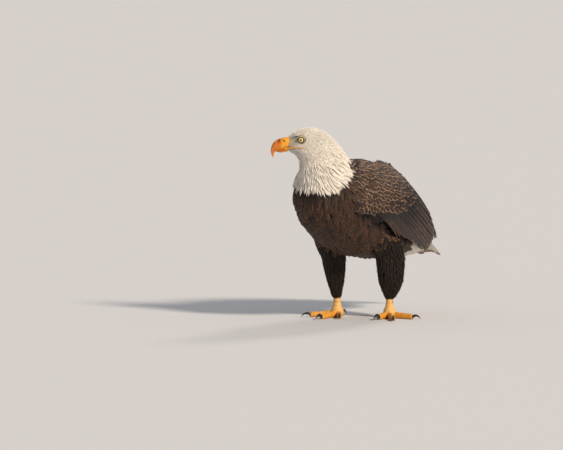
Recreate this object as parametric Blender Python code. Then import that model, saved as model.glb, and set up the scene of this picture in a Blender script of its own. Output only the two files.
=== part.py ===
"""A life-size standing bald eagle, as a museum shows one, with its wings folded and its head turned.

The solids stand for the bird at the outer surface of its plumage, parted into the pieces that a person
would name. Metres, +Z up. The trunk faces -Y and the bird's left is +X. The origin is on the floor, under
the middle of the bounding box. Tables are in centimetres, before that last shift to the origin.
"""

import math

import bmesh
import bpy
from mathutils import Matrix, Vector

CM = 0.01                       # the tables' unit, in metres
GAP = 0.034                     # left between pieces that meet, in centimetres
FLOOR_SHIFT = (-1.116, -1.995) # takes the tables' X and Y to the origin under the bounding box's middle

# ---- Trunk --------------------------------------------------------------------------------------
# A station is the point on the back (y, z), the point on the breast or belly (y, z), half the width
# between the flanks, and how square the section is, where 2 is an ellipse.
TRUNK_CORNERS = 26
TRUNK_STATIONS = (
    ((-14.5, 41.8), (-24.6, 39.8), 4.6, 2.0),
    ((-10.5, 42.4), (-27.0, 37.3), 8.0, 2.2),
    ((-7.0, 42.3), (-27.9, 33.5), 9.5, 2.3),
    ((-3.5, 41.7), (-27.4, 29.3), 10.2, 2.3),
    ((0.5, 40.5), (-24.4, 24.6), 10.6, 2.3),
    ((4.5, 38.6), (-18.4, 20.2), 10.5, 2.3),
    ((8.5, 36.0), (-9.8, 16.7), 9.9, 2.2),
    ((12.0, 32.9), (-0.8, 15.4), 8.9, 2.2),
    ((15.4, 29.4), (7.4, 15.0), 7.4, 2.1),
    ((18.6, 26.0), (14.0, 14.8), 6.0, 2.0),
    ((21.6, 22.8), (19.6, 14.8), 4.5, 2.0),
    ((24.2, 20.3), (23.8, 15.3), 3.1, 2.0),
)
TRUNK_FRONT = (-19.6, 41.8)     # the pole under the neck
TRUNK_REAR = (26.4, 17.2)       # the pole at the end of the tail coverts

# ---- Head and neck ------------------------------------------------------------------------------
# Both are lofted in the head's own upright plane. Its points are (forward, up) from the eye.
HEAD_TURN = math.radians(57)    # to the bird's right
EYE_BACK = 17.3                 # the eye, behind the origin along the head's plane, with its sign turned
EYE_HEIGHT = 47.7
HEAD_ASIDE = 18.0               # the head's plane, towards its own left from the origin
HEAD_CORNERS = 26
HEAD_STATIONS = (               # nape or crown, throat or chin, half the width, squareness
    ((-13.9, -10.6), (-0.6, -14.6), 5.6, 2.0),
    ((-13.5, -8.2), (0.9, -12.0), 6.1, 2.0),
    ((-12.9, -6.0), (0.95, -9.4), 6.0, 2.0),
    ((-11.7, -3.9), (0.5, -7.2), 5.4, 2.0),
    ((-10.2, -1.9), (0.6, -5.6), 4.9, 2.0),
    ((-8.4, 0.3), (1.2, -4.5), 4.55, 2.05),
    ((-5.9, 2.25), (2.0, -3.8), 4.15, 2.1),
    ((-2.6, 3.15), (2.7, -3.4), 3.6, 2.2),
    ((0.0, 2.85), (3.1, -3.2), 2.85, 2.3),
    ((1.95, 1.95), (3.3, -3.05), 2.2, 2.3),
    ((3.28, 0.8), (3.44, -2.95), 1.75, 2.3),
)
HEAD_LOW_POLE = (-7.6, -15.0)
NECK_CUT_POINT = (-4.6, -4.2)   # on the plane that parts the head from the neck
NECK_CUT_SLOPE = math.radians(-17)

EYE_RADIUS = 1.15
EYE_SPREAD = 2.75               # each eye's centre from the head's plane
EYE_SEGMENTS = (18, 10)

# The bill's stations are the ridge or upper edge, the cutting or lower edge, and half the width.
BILL_CORNERS = 16
UPPER_BILL = (
    ((3.33, 0.62), (3.46, -2.38), 1.62),
    ((4.4, 0.48), (4.4, -2.55), 1.42),
    ((5.5, 0.2), (5.2, -2.78), 1.2),
    ((6.5, -0.25), (5.95, -3.0), 0.96),
    ((7.3, -1.0), (6.5, -3.12), 0.72),
    ((7.8, -2.1), (6.88, -3.35), 0.5),
    ((7.86, -3.2), (7.02, -3.78), 0.32),
    ((7.62, -4.15), (7.1, -4.35), 0.18),
)
UPPER_BILL_TIP = (7.2, -4.85)
LOWER_BILL = (
    ((3.47, -2.44), (3.5, -3.1), 1.38),
    ((4.4, -2.61), (4.35, -3.38), 1.14),
    ((5.2, -2.84), (5.1, -3.6), 0.88),
    ((5.9, -3.05), (5.85, -3.56), 0.6),
)
LOWER_BILL_TIP = (6.45, -3.3)

# ---- Wings --------------------------------------------------------------------------------------
# A station is its y, then the (x, z) of the lower edge, the fullest point and the upper edge, and the
# thickness. The left wing is lofted and the right one is its mirror image.
WING_STATIONS = (
    (-21.0, (8.9, 30.0), (9.6, 32.8), (8.2, 36.2), 2.6),
    (-17.5, (10.4, 28.0), (11.6, 33.0), (8.0, 37.9), 3.4),
    (-10.0, (11.2, 25.0), (12.7, 32.6), (7.2, 41.2), 4.0),
    (-2.0, (10.9, 22.6), (12.5, 32.8), (5.0, 41.9), 3.8),
    (6.0, (10.0, 19.8), (11.3, 31.8), (2.6, 40.6), 3.8),
    (13.0, (8.6, 17.5), (10.0, 28.2), (1.0, 36.9), 4.4),
    (18.0, (7.2, 16.2), (8.8, 25.3), (0.8, 33.4), 3.4),
    (20.4, (6.6, 17.1), (7.9, 24.0), (0.8, 31.6), 2.6),
    (24.0, (5.8, 18.1), (6.4, 22.9), (0.9, 28.6), 1.8),
    (27.4, (4.9, 18.3), (5.0, 21.2), (1.4, 24.8), 1.0),
    (29.6, (3.9, 18.7), (3.9, 19.9), (2.5, 21.4), 0.7),
)
WING_FRONT = (-22.6, 7.4, 32.6)     # the pole at the wrist: y, x, z
WING_TIP = (30.6, 3.2, 19.4)
WING_SIDE_POINTS = 11
WING_EDGE_SHARE = 0.3               # the edges' thickness, as a share of the middle's
PRIMARY_CUT_POINT = (21.4, 20.0)    # on the plane behind which only the longest feathers reach, (y, z)
PRIMARY_CUT_SLOPE = math.radians(60)

# ---- Tail ---------------------------------------------------------------------------------------
# A station is the ridge's (y, z), half the width, the thickness and how far the sides hang.
TAIL_STATIONS = (
    ((13.0, 28.0), 2.6, 1.6, 0.5),
    ((17.0, 25.6), 3.2, 1.5, 0.8),
    ((22.0, 22.5), 3.7, 1.3, 1.1),
    ((27.0, 19.2), 4.1, 1.1, 1.4),
    ((31.0, 16.6), 4.3, 0.9, 1.7),
    ((32.4, 15.7), 3.6, 0.7, 1.2),
)
TAIL_END = (33.0, 15.1)
TAIL_SIDE_POINTS = 9

# ---- Legs and feet ------------------------------------------------------------------------------
LEG_CORNERS = 16
THIGH_TOP_POLE = 24.0
# Height, centre (x, y), half the width and half the depth.
RIGHT_THIGH = (
    (22.0, (-6.2, -8.2), 3.7, 6.4),
    (18.6, (-6.5, -6.8), 3.6, 5.4),
    (15.5, (-6.75, -5.4), 3.05, 3.9),
    (12.0, (-6.85, -4.8), 2.65, 3.3),
    (9.6, (-6.85, -4.4), 2.25, 2.8),
    (7.2, (-6.85, -4.2), 1.7, 1.95),
    (5.2, (-6.8, -3.95), 1.2, 1.3),
)
LEFT_THIGH = (
    (22.0, (6.0, -2.5), 3.8, 6.6),
    (18.6, (6.3, -0.6), 3.9, 6.0),
    (15.5, (6.5, 1.4), 3.6, 4.9),
    (12.0, (6.6, 1.3), 3.35, 4.3),
    (9.4, (6.65, 1.4), 3.1, 3.9),
    (7.2, (6.75, 1.1), 2.3, 2.8),
    (5.2, (6.75, 0.7), 1.3, 1.45),
)
RIGHT_FOOT = (-6.75, -3.8)
LEFT_FOOT = (6.75, 0.5)
RIGHT_FOOT_TURN = math.radians(2)      # towards the bird's left, from straight ahead
LEFT_FOOT_TURN = math.radians(38)
TARSUS = (                              # height, half the width
    (5.16, 0.92),
    (3.9, 0.94),
    (2.9, 1.15),
    (2.2, 1.5),
    (1.4, 1.72),
    (0.6, 1.6),
    (0.0, 1.15),
)
# A toe's turn from the foot's own line for a left foot, how far its root lies to the outer side, its
# length, half its width at the root, and the radius of the arc that its claw follows.
TOES = {
    "inner": (math.radians(-31), -0.62, 5.1, 0.6, 2.1),
    "middle": (0.0, 0.0, 8.1, 0.6, 1.85),
    "outer": (math.radians(50), 0.5, 6.6, 0.56, 1.5),
    "hind": (math.radians(168), 0.0, 4.2, 0.64, 2.15),
}
TOE_CORNERS = 12
TOE_START = 0.9                 # from the foot's centre
TOE_STATIONS = 9
TOE_HEIGHT = (1.84, 1.46)       # at the root and at the claw, before the floor flattens it
TOE_SINK = 0.2                  # the depth that the floor flattens
TOE_TAPER = 0.84                # the end's width as a share of the root's
TOE_PAD_SWELL = 0.09
CLAW_CORNERS = 10
CLAW_STATIONS = 7
CLAW_START_HEIGHT = 0.62
CLAW_RISE = math.radians(46)    # how steeply a claw leaves its toe
CLAW_TIP_CLEAR = 0.12           # left under the middle of a claw's tip
CLAW_FLOOR = 0.03               # no part of a claw is lower
CLAW_ROOT_SHARE = 0.27          # a claw's half depth at its root, as a share of its arc's radius
CLAW_TIP_HALF = 0.035

# ---- Colours ------------------------------------------------------------------------------------
WHITE_PLUMAGE = (0.78, 0.72, 0.64)
BROWN_PLUMAGE = (0.045, 0.026, 0.016)
WING_PLUMAGE = (0.07, 0.042, 0.026)
QUILL_BLACK = (0.018, 0.013, 0.01)
BILL_YELLOW = (0.83, 0.33, 0.04)
LEG_YELLOW = (0.88, 0.45, 0.08)
CLAW_BLACK = (0.012, 0.012, 0.013)
EYE_PALE = (0.8, 0.68, 0.32)


def clear_scene():
    for thing in list(bpy.data.objects):
        bpy.data.objects.remove(thing, do_unlink=True)


def new_collection(name):
    made = bpy.data.collections.new(name)
    bpy.context.scene.collection.children.link(made)
    return made


def material(name, colour, roughness):
    made = bpy.data.materials.new(name)
    made.use_nodes = True
    shader = made.node_tree.nodes["Principled BSDF"]
    shader.inputs["Base Color"].default_value = (*colour, 1.0)
    shader.inputs["Roughness"].default_value = roughness
    shader.inputs["Metallic"].default_value = 0.0
    return made


def bird_point(x, y, z):
    """A point of the tables, in metres from the origin on the floor."""
    return Vector((x + FLOOR_SHIFT[0], y + FLOOR_SHIFT[1], z)) * CM


def head_point(forward, up, aside=0.0):
    """A point given from the eye along the head's plane, aside to the head's own left."""
    along = -EYE_BACK - forward
    depth = HEAD_ASIDE + aside
    x = along * math.sin(HEAD_TURN) + depth * math.cos(HEAD_TURN)
    y = along * math.cos(HEAD_TURN) - depth * math.sin(HEAD_TURN)
    return bird_point(x, y, EYE_HEIGHT + up)


def rounded(angle, square):
    """The point of a superellipse of half-axes 1 at an angle."""
    across = math.copysign(abs(math.cos(angle)) ** (2 / square), math.cos(angle))
    up = math.copysign(abs(math.sin(angle)) ** (2 / square), math.sin(angle))
    return across, up


def section(top, bottom, half_width, square, corners, place):
    """A ring between two points of a plane. place turns (first, second, aside) into a point in space."""
    top = Vector(top)
    bottom = Vector(bottom)
    middle = (top + bottom) / 2
    reach = (top - bottom) / 2
    ring = []
    for corner in range(corners):
        across, up = rounded(2 * math.pi * corner / corners, square)
        at = middle + reach * up
        ring.append(place(at.x, at.y, across * half_width))
    return ring


def between(bm, verts):
    """The edges whose two ends are both in verts."""
    chosen = set(verts)
    return [edge for edge in bm.edges if edge.verts[0] in chosen and edge.verts[1] in chosen]


def cap(bm, edges, pole):
    """Closes a ring, with a fan to the pole if there is one."""
    face = bmesh.ops.contextual_create(bm, geom=edges)["faces"][0]
    if pole is not None:
        bmesh.ops.poke(bm, faces=[face])["verts"][0].co = pole


def loft(rings, start_pole=None, end_pole=None):
    """A closed skin through rings of like numbers of points, made by extruding the first one onwards."""
    bm = bmesh.new()
    corner = bm.verts.layers.int.new("corner")
    circle = bmesh.ops.create_circle(bm, segments=len(rings[0]), radius=1.0)["verts"]
    for number, vert in enumerate(circle):
        vert[corner] = number
        vert.co = rings[0][number]
    first = bm.edges[:]
    edges = first
    for ring in rings[1:]:
        grown = bmesh.ops.extrude_edge_only(bm, edges=edges)["geom"]
        verts = [item for item in grown if isinstance(item, bmesh.types.BMVert)]
        for vert in verts:
            vert.co = ring[vert[corner]]
        edges = between(bm, verts)
    cap(bm, first, start_pole)
    cap(bm, edges, end_pole)
    bmesh.ops.triangulate(bm, faces=bm.faces[:], quad_method="FIXED", ngon_method="EAR_CLIP")
    bmesh.ops.recalc_face_normals(bm, faces=bm.faces[:])
    return bm


def grown(bm):
    """The same shape with its skin moved out by a gap, to cut its neighbours with."""
    bm.normal_update()
    moves = [(vert, vert.normal * (GAP * CM)) for vert in bm.verts]
    for vert, move in moves:
        vert.co += move
    return bm


def keep_side(bm, point, normal):
    """Cuts away what lies on the normal's side of a plane and closes the cut."""
    geometry = bm.verts[:] + bm.edges[:] + bm.faces[:]
    cut = bmesh.ops.bisect_plane(
        bm, geom=geometry, dist=1e-7, plane_co=point, plane_no=normal, clear_outer=True
    )
    edges = [item for item in cut["geom_cut"] if isinstance(item, bmesh.types.BMEdge)]
    bmesh.ops.holes_fill(bm, edges=edges, sides=0)
    bmesh.ops.recalc_face_normals(bm, faces=bm.faces[:])
    return bm


def finished(name, bm, collection, look):
    mesh = bpy.data.meshes.new(name)
    bm.to_mesh(mesh)
    bm.free()
    mesh.materials.append(look)
    mesh.shade_smooth()
    made = bpy.data.objects.new(name, mesh)
    collection.objects.link(made)
    return made


def cutter(name, bm, collection, look):
    made = finished(name, bm, collection, look)
    made.hide_render = True
    made.display_type = "WIRE"
    return made


def cut_away(target, tool):
    boolean = target.modifiers.new("Clear of " + tool.name, "BOOLEAN")
    boolean.operation = "DIFFERENCE"
    boolean.solver = "EXACT"
    boolean.object = tool


def trunk_shape():
    def place(y, z, x):
        return bird_point(x, y, z)

    rings = [
        section(back, belly, half, square, TRUNK_CORNERS, place)
        for back, belly, half, square in TRUNK_STATIONS
    ]
    return loft(rings, bird_point(0.0, *TRUNK_FRONT), bird_point(0.0, *TRUNK_REAR))


def head_and_neck_shape():
    rings = [
        section(crown, chin, half, square, HEAD_CORNERS, head_point)
        for crown, chin, half, square in HEAD_STATIONS
    ]
    return loft(rings, head_point(*HEAD_LOW_POLE), None)


def neck_cut(towards_head):
    """The plane that parts head from neck, half a gap to one side, with its normal off the kept side."""
    side = 1 if towards_head else -1
    point = head_point(*NECK_CUT_POINT)
    below = head_point(
        NECK_CUT_POINT[0] + math.sin(NECK_CUT_SLOPE), NECK_CUT_POINT[1] - math.cos(NECK_CUT_SLOPE)
    )
    normal = (below - point).normalized() * side
    return point - normal * (GAP * CM / 2), normal


def bill_shape(stations, tip):
    rings = [
        section(ridge, edge, half, 2.2, BILL_CORNERS, head_point)
        for ridge, edge, half in stations
    ]
    return loft(rings, None, head_point(*tip))


def eye_shape(side):
    bm = bmesh.new()
    place = Matrix.Translation(head_point(0.0, 0.0, side * EYE_SPREAD))
    turn = Matrix.Rotation(math.pi / 2 - HEAD_TURN, 4, "Z") @ Matrix.Rotation(math.pi / 2, 4, "Y")
    bmesh.ops.create_uvsphere(
        bm,
        u_segments=EYE_SEGMENTS[0],
        v_segments=EYE_SEGMENTS[1],
        radius=EYE_RADIUS * CM,
        matrix=place @ turn,
    )
    return bm


def wing_ring(y, low, full, high, thickness, side):
    """One section of a wing: its outer side from the lower edge up, then its inner side back down."""
    low = Vector(low)
    high = Vector(high)
    pull = 2 * Vector(full) - (low + high) / 2
    outer = []
    inner = []
    for step in range(WING_SIDE_POINTS):
        share = step / (WING_SIDE_POINTS - 1)
        at = low * (1 - share) ** 2 + pull * (2 * share * (1 - share)) + high * share**2
        tangent = (pull - low) * (1 - share) + (high - pull) * share
        inward = Vector((-tangent.y, tangent.x)).normalized()
        swell = math.sin(math.pi * share)
        depth = thickness * (WING_EDGE_SHARE + (1 - WING_EDGE_SHARE) * swell)
        within = at + inward * depth
        outer.append(bird_point(side * at.x, y, at.y))
        inner.append(bird_point(side * within.x, y, within.y))
    return outer + inner[::-1]


def wing_shape(side):
    rings = [wing_ring(*station, side) for station in WING_STATIONS]
    front_y, front_x, front_z = WING_FRONT
    tip_y, tip_x, tip_z = WING_TIP
    return loft(rings, bird_point(side * front_x, front_y, front_z), bird_point(side * tip_x, tip_y, tip_z))


def primary_cut(behind):
    """The plane behind which only the longest feathers reach, with its normal away from the kept side."""
    side = -1 if behind else 1
    normal = Vector((0.0, math.sin(PRIMARY_CUT_SLOPE), -math.cos(PRIMARY_CUT_SLOPE))) * side
    point = bird_point(0.0, *PRIMARY_CUT_POINT)
    return point - normal * (GAP * CM / 2), normal


def tail_ring(ridge, half, thickness, hang):
    y, z = ridge
    upper = []
    lower = []
    for step in range(TAIL_SIDE_POINTS):
        share = 2 * step / (TAIL_SIDE_POINTS - 1) - 1
        drop = hang * abs(share) ** 1.5
        depth = thickness * (1 - 0.6 * share * share)
        upper.append(bird_point(half * share, y, z - drop))
        lower.append(bird_point(half * share, y, z - drop - depth))
    return upper + lower[::-1]


def tail_shape():
    rings = [tail_ring(*station) for station in TAIL_STATIONS]
    return loft(rings, None, bird_point(0.0, *TAIL_END))


def level_ring(z, centre, half_width, half_depth, corners):
    ring = []
    for corner in range(corners):
        angle = 2 * math.pi * corner / corners
        x = centre[0] + half_width * math.cos(angle)
        y = centre[1] + half_depth * math.sin(angle)
        ring.append(bird_point(x, y, z))
    return ring


def thigh_shape(stations):
    rings = [level_ring(z, centre, wide, deep, LEG_CORNERS) for z, centre, wide, deep in stations]
    top = stations[0][1]
    return loft(rings, bird_point(top[0], top[1], THIGH_TOP_POLE), None)


def tarsus_shape(foot):
    rings = [level_ring(z, foot, half, half, LEG_CORNERS) for z, half in TARSUS]
    return loft(rings)


def toe_pad(share):
    """How much fuller a toe is at a place along it, with three pads."""
    return 1 + TOE_PAD_SWELL * math.sin(3 * math.pi * share) ** 2


def toe_shape(root, heading, length, half_width):
    """A toe lying on the floor, with a flat underneath wherever it would sink in."""
    ahead = Vector((math.sin(heading), -math.cos(heading)))
    aside = Vector((math.cos(heading), math.sin(heading)))
    rings = []
    for station in range(TOE_STATIONS):
        share = station / (TOE_STATIONS - 1)
        reach = TOE_START + (length - TOE_START) * share
        height = TOE_HEIGHT[0] + (TOE_HEIGHT[1] - TOE_HEIGHT[0]) * share
        wide = half_width * (1 + (TOE_TAPER - 1) * share) * toe_pad(share)
        middle = height / 2 - TOE_SINK
        ring = []
        for corner in range(TOE_CORNERS):
            across, up = rounded(2 * math.pi * corner / TOE_CORNERS, 2.2)
            spot = Vector(root) + ahead * reach + aside * (wide * across)
            ring.append(bird_point(spot.x, spot.y, max(0.0, middle + up * (height / 2))))
        rings.append(ring)
    return loft(rings)


def claw_end(radius, start_height):
    """The direction, under the level, in which a claw ends so that its tip is just clear of the floor."""
    drop = start_height - CLAW_TIP_CLEAR
    return math.acos(math.cos(CLAW_RISE) - drop / radius)


def claw_shape(root, heading, length, radius):
    """A hooked claw: round sections that shrink along an arc in the toe's upright plane."""
    ahead = Vector((math.sin(heading), -math.cos(heading), 0.0))
    aside = Vector((math.cos(heading), math.sin(heading), 0.0))
    start = Vector((*root, CLAW_START_HEIGHT)) + ahead * (length + GAP)
    end = claw_end(radius, start.z)
    centre = start + (ahead * math.sin(CLAW_RISE) - Vector((0, 0, math.cos(CLAW_RISE)))) * radius
    rings = []
    for station in range(CLAW_STATIONS):
        share = station / (CLAW_STATIONS - 1)
        slope = CLAW_RISE - (CLAW_RISE + end) * share
        outward = Vector((0, 0, math.cos(slope))) - ahead * math.sin(slope)
        if station == 0:
            outward = Vector((0, 0, 1))
        middle = centre + (Vector((0, 0, math.cos(slope))) - ahead * math.sin(slope)) * radius
        half = radius * CLAW_ROOT_SHARE * (1 - share) ** 0.8 + CLAW_TIP_HALF
        ring = []
        for corner in range(CLAW_CORNERS):
            angle = 2 * math.pi * corner / CLAW_CORNERS
            spot = middle + outward * (half * math.sin(angle)) + aside * (0.78 * half * math.cos(angle))
            ring.append(bird_point(spot.x, spot.y, max(CLAW_FLOOR, spot.z)))
        rings.append(ring)
    return loft(rings)


def make_trunk(solids, cutters, looks):
    finished("trunk", trunk_shape(), solids, looks["brown"])
    return cutter("trunk_clearance", grown(trunk_shape()), cutters, looks["brown"])


def make_head(solids, cutters, looks, trunk_tool):
    neck = finished("neck", keep_side(head_and_neck_shape(), *neck_cut(False)), solids, looks["white"])
    cut_away(neck, trunk_tool)
    head = finished("head", keep_side(head_and_neck_shape(), *neck_cut(True)), solids, looks["white"])
    for side, name in ((1, "left"), (-1, "right")):
        finished("eye_" + name, eye_shape(side), solids, looks["eye"])
        socket = cutter("socket_" + name, grown(eye_shape(side)), cutters, looks["eye"])
        cut_away(head, socket)
    finished("bill_upper", bill_shape(UPPER_BILL, UPPER_BILL_TIP), solids, looks["bill"])
    finished("bill_lower", bill_shape(LOWER_BILL, LOWER_BILL_TIP), solids, looks["bill"])


def make_wings(solids, looks, trunk_tool):
    for side, name in ((1, "left"), (-1, "right")):
        arm = keep_side(wing_shape(side), *primary_cut(False))
        cut_away(finished("wing_" + name, arm, solids, looks["wing"]), trunk_tool)
        quills = keep_side(wing_shape(side), *primary_cut(True))
        cut_away(finished("primaries_" + name, quills, solids, looks["quill"]), trunk_tool)


def make_leg(name, thigh, foot, foot_turn, side, solids, cutters, looks, trunk_tool):
    upper = finished("thigh_" + name, thigh_shape(thigh), solids, looks["brown"])
    cut_away(upper, trunk_tool)
    finished("tarsus_" + name, tarsus_shape(foot), solids, looks["leg"])
    ankle = cutter("tarsus_clearance_" + name, grown(tarsus_shape(foot)), cutters, looks["leg"])
    for toe, (turn, root_offset, length, half, claw_radius) in TOES.items():
        heading = foot_turn + side * turn
        root = (
            foot[0] + side * root_offset * math.cos(foot_turn),
            foot[1] + side * root_offset * math.sin(foot_turn),
        )
        digit = finished(f"toe_{toe}_{name}", toe_shape(root, heading, length, half), solids, looks["leg"])
        cut_away(digit, ankle)
        finished(
            f"claw_{toe}_{name}", claw_shape(root, heading, length, claw_radius), solids, looks["claw"]
        )


def main():
    clear_scene()
    solids = new_collection("bald_eagle")
    cutters = new_collection("cutters")
    looks = {
        "white": material("white plumage", WHITE_PLUMAGE, 0.8),
        "brown": material("brown plumage", BROWN_PLUMAGE, 0.75),
        "wing": material("wing plumage", WING_PLUMAGE, 0.7),
        "quill": material("black quills", QUILL_BLACK, 0.6),
        "bill": material("bill horn", BILL_YELLOW, 0.35),
        "leg": material("scaled leg", LEG_YELLOW, 0.5),
        "claw": material("black claw horn", CLAW_BLACK, 0.3),
        "eye": material("pale eye", EYE_PALE, 0.1),
    }
    trunk_tool = make_trunk(solids, cutters, looks)
    make_head(solids, cutters, looks, trunk_tool)
    make_wings(solids, looks, trunk_tool)
    tail = finished("tail", tail_shape(), solids, looks["white"])
    cut_away(tail, trunk_tool)
    make_leg("right", RIGHT_THIGH, RIGHT_FOOT, RIGHT_FOOT_TURN, -1, solids, cutters, looks, trunk_tool)
    make_leg("left", LEFT_THIGH, LEFT_FOOT, LEFT_FOOT_TURN, 1, solids, cutters, looks, trunk_tool)


main()
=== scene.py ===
"""A life-size standing bald eagle: plumage, bill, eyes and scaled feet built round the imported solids."""

import math

import bmesh
import bpy
import numpy as np
from bpy.props import FloatProperty, FloatVectorProperty, IntProperty, PointerProperty
from bpy.types import Operator, Panel, PropertyGroup
from mathutils import Matrix, Vector, noise
from mathutils.bvhtree import BVHTree


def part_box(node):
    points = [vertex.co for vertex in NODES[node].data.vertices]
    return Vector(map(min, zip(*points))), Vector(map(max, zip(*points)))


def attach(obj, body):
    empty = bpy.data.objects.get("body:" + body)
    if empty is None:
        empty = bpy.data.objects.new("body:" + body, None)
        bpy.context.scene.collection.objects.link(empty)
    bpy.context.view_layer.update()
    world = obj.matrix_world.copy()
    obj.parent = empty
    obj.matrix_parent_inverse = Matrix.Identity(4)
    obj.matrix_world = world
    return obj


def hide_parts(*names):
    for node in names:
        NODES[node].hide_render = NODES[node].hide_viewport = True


bl_info = {
    "name": "Bald eagle",
    "version": (1, 0, 0),
    "blender": (4, 5, 0),
    "location": "3D View > Sidebar > Eagle",
    "description": "Builds a standing bald eagle feather by feather round its packed solids",
    "category": "Object",
}

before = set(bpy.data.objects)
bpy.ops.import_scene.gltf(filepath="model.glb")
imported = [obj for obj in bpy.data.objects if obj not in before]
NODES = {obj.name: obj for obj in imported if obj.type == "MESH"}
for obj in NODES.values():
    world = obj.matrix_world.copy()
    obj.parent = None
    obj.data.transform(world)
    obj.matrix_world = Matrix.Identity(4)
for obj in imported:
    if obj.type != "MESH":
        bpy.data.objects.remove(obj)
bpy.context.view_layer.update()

CM = 0.01
MM = 0.001
BODY = "root"
SIDES = (("left", 1), ("right", -1))
TOES = ("inner", "middle", "outer", "hind")

# ---- Places read from the frame -----------------------------------------------------------------


def middle(node):
    low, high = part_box(node)
    return (low + high) / 2


MID_X = middle("tail").x
EYE_RADIUS = (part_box("eye_left")[1].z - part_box("eye_left")[0].z) / 2
EYE_MIDDLE = (middle("eye_left") + middle("eye_right")) / 2
HEAD_LEFT = (middle("eye_left") - middle("eye_right")).normalized()
HEAD_AHEAD = HEAD_LEFT.cross(Vector((0, 0, 1)))


def body_at(x, y, z):
    """A point in centimetres from the floor under the bird, x to the left of its middle plane."""
    return Vector((MID_X + x * CM, y * CM, z * CM))


def head_at(ahead, up, aside=0.0):
    """A point in centimetres from the middle between the eyes, along the head's own directions."""
    return EYE_MIDDLE + (HEAD_AHEAD * ahead + Vector((0, 0, up)) + HEAD_LEFT * aside) * CM


def head_way(ahead, up, aside=0.0):
    return HEAD_AHEAD * ahead + Vector((0, 0, up)) + HEAD_LEFT * aside


def in_head(points):
    """World points as ahead, up and aside of the eyes, in centimetres."""
    off = (np.asarray(points) - np.array(EYE_MIDDLE)) / CM
    return off @ np.array([HEAD_AHEAD, (0, 0, 1), HEAD_LEFT]).T


# ---- Small tools --------------------------------------------------------------------------------


def unit(vectors):
    return vectors / np.maximum(np.linalg.norm(vectors, axis=-1, keepdims=True), 1e-12)


def smoothstep(low, high, value):
    share = np.clip((value - low) / (high - low), 0, 1)
    return share * share * (3 - 2 * share)


def linear(code):
    """The linear colour of an sRGB hex code."""
    parts = [int(code[i : i + 2], 16) / 255 for i in (0, 2, 4)]
    return tuple(p / 12.92 if p <= 0.04045 else ((p + 0.055) / 1.055) ** 2.4 for p in parts) + (1.0,)


def place(name, mesh, materials, replaced=()):
    """Puts a finished mesh in the scene, riding on the body."""
    made = bpy.data.objects.new(name, mesh)
    bpy.context.scene.collection.objects.link(made)
    mesh.materials.clear()
    for material in materials:
        mesh.materials.append(material)
    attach(made, BODY)
    if replaced:
        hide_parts(*replaced)
    return made


def merged(names):
    """Copies of solids joined in one bmesh, with their loose corners welded."""
    joined = bmesh.new()
    for name in names:
        part = bmesh.new()
        part.from_mesh(NODES[name].data)
        bmesh.ops.remove_doubles(part, verts=part.verts[:], dist=1e-6)
        held = bpy.data.meshes.new(name + "_copy")
        part.to_mesh(held)
        part.free()
        joined.from_mesh(held)
        bpy.data.meshes.remove(held)
    return joined


def remeshed(shape, voxel, rounds, strength=0.5):
    """One even closed skin round a bmesh, smoothed a little."""
    mesh = bpy.data.meshes.new("rough")
    shape.to_mesh(mesh)
    shape.free()
    rough = bpy.data.objects.new("rough", mesh)
    bpy.context.scene.collection.objects.link(rough)
    grid = rough.modifiers.new("One skin", "REMESH")
    grid.mode = "VOXEL"
    grid.voxel_size = voxel
    soft = rough.modifiers.new("Soft", "SMOOTH")
    soft.iterations = rounds
    soft.factor = strength
    graph = bpy.context.evaluated_depsgraph_get()
    done = bpy.data.meshes.new_from_object(rough.evaluated_get(graph))
    bpy.data.objects.remove(rough)
    bpy.data.meshes.remove(mesh)
    return done


def corners_of(mesh):
    """(points, normals) of a mesh's vertices."""
    points = np.empty(len(mesh.vertices) * 3, np.float32)
    mesh.vertices.foreach_get("co", points)
    normals = np.empty(len(mesh.vertices) * 3, np.float32)
    mesh.vertex_normals.foreach_get("vector", normals)
    return points.reshape(-1, 3).astype(float), normals.reshape(-1, 3).astype(float)


def move_corners(mesh, points):
    mesh.vertices.foreach_set("co", np.asarray(points, np.float32).ravel())
    mesh.update()


def relaxed(mesh, rounds, points=None):
    """The vertices' places, each pulled towards its neighbours' mean."""
    points = corners_of(mesh)[0] if points is None else points
    ends = np.empty(len(mesh.edges) * 2, np.int32)
    mesh.edges.foreach_get("vertices", ends)
    ends = ends.reshape(-1, 2)
    count = np.bincount(ends.ravel(), minlength=len(points))[:, None]
    for _ in range(rounds):
        total = np.zeros_like(points)
        for axis in range(3):
            total[:, axis] = np.bincount(ends[:, 0], points[ends[:, 1], axis], len(points))
            total[:, axis] += np.bincount(ends[:, 1], points[ends[:, 0], axis], len(points))
        points = (points + total / np.maximum(count, 1)) / 2
    return points


class Surface:
    """A skin that feathers are laid on."""

    def __init__(self, mesh):
        self.points, normals = corners_of(mesh)
        self.faces = [tuple(face.vertices) for face in mesh.polygons]
        self.tree = BVHTree.FromPolygons(self.points.tolist(), self.faces)
        self.first = np.array([face[:3] for face in self.faces])
        self.last = np.array([face[-1] for face in self.faces])
        self.centres = (self.points[self.first].sum(1) + self.points[self.last]) / 4
        self.normals = unit(normals[self.first].sum(1) + normals[self.last])
        across = self.points[self.first[:, 2]] - self.points[self.first[:, 0]]
        other = self.points[self.last] - self.points[self.first[:, 1]]
        self.areas = np.linalg.norm(np.cross(across, other), axis=1) / 2

    def snap(self, points):
        """The nearest places on the skin and the skin's directions there."""
        found = [self.tree.find_nearest(point) for point in points.tolist()]
        places = np.array([hit[0] for hit in found])
        return places, self.normals[[hit[2] for hit in found]]


def nearest_node(points, names):
    """The number of the solid that each point lies nearest to."""
    away = []
    for name in names:
        tree = BVHTree.FromPolygons(
            [v.co for v in NODES[name].data.vertices], [p.vertices for p in NODES[name].data.polygons]
        )
        away.append([tree.find_nearest(point)[3] for point in points.tolist()])
    return np.argmin(np.array(away), axis=0)


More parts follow.
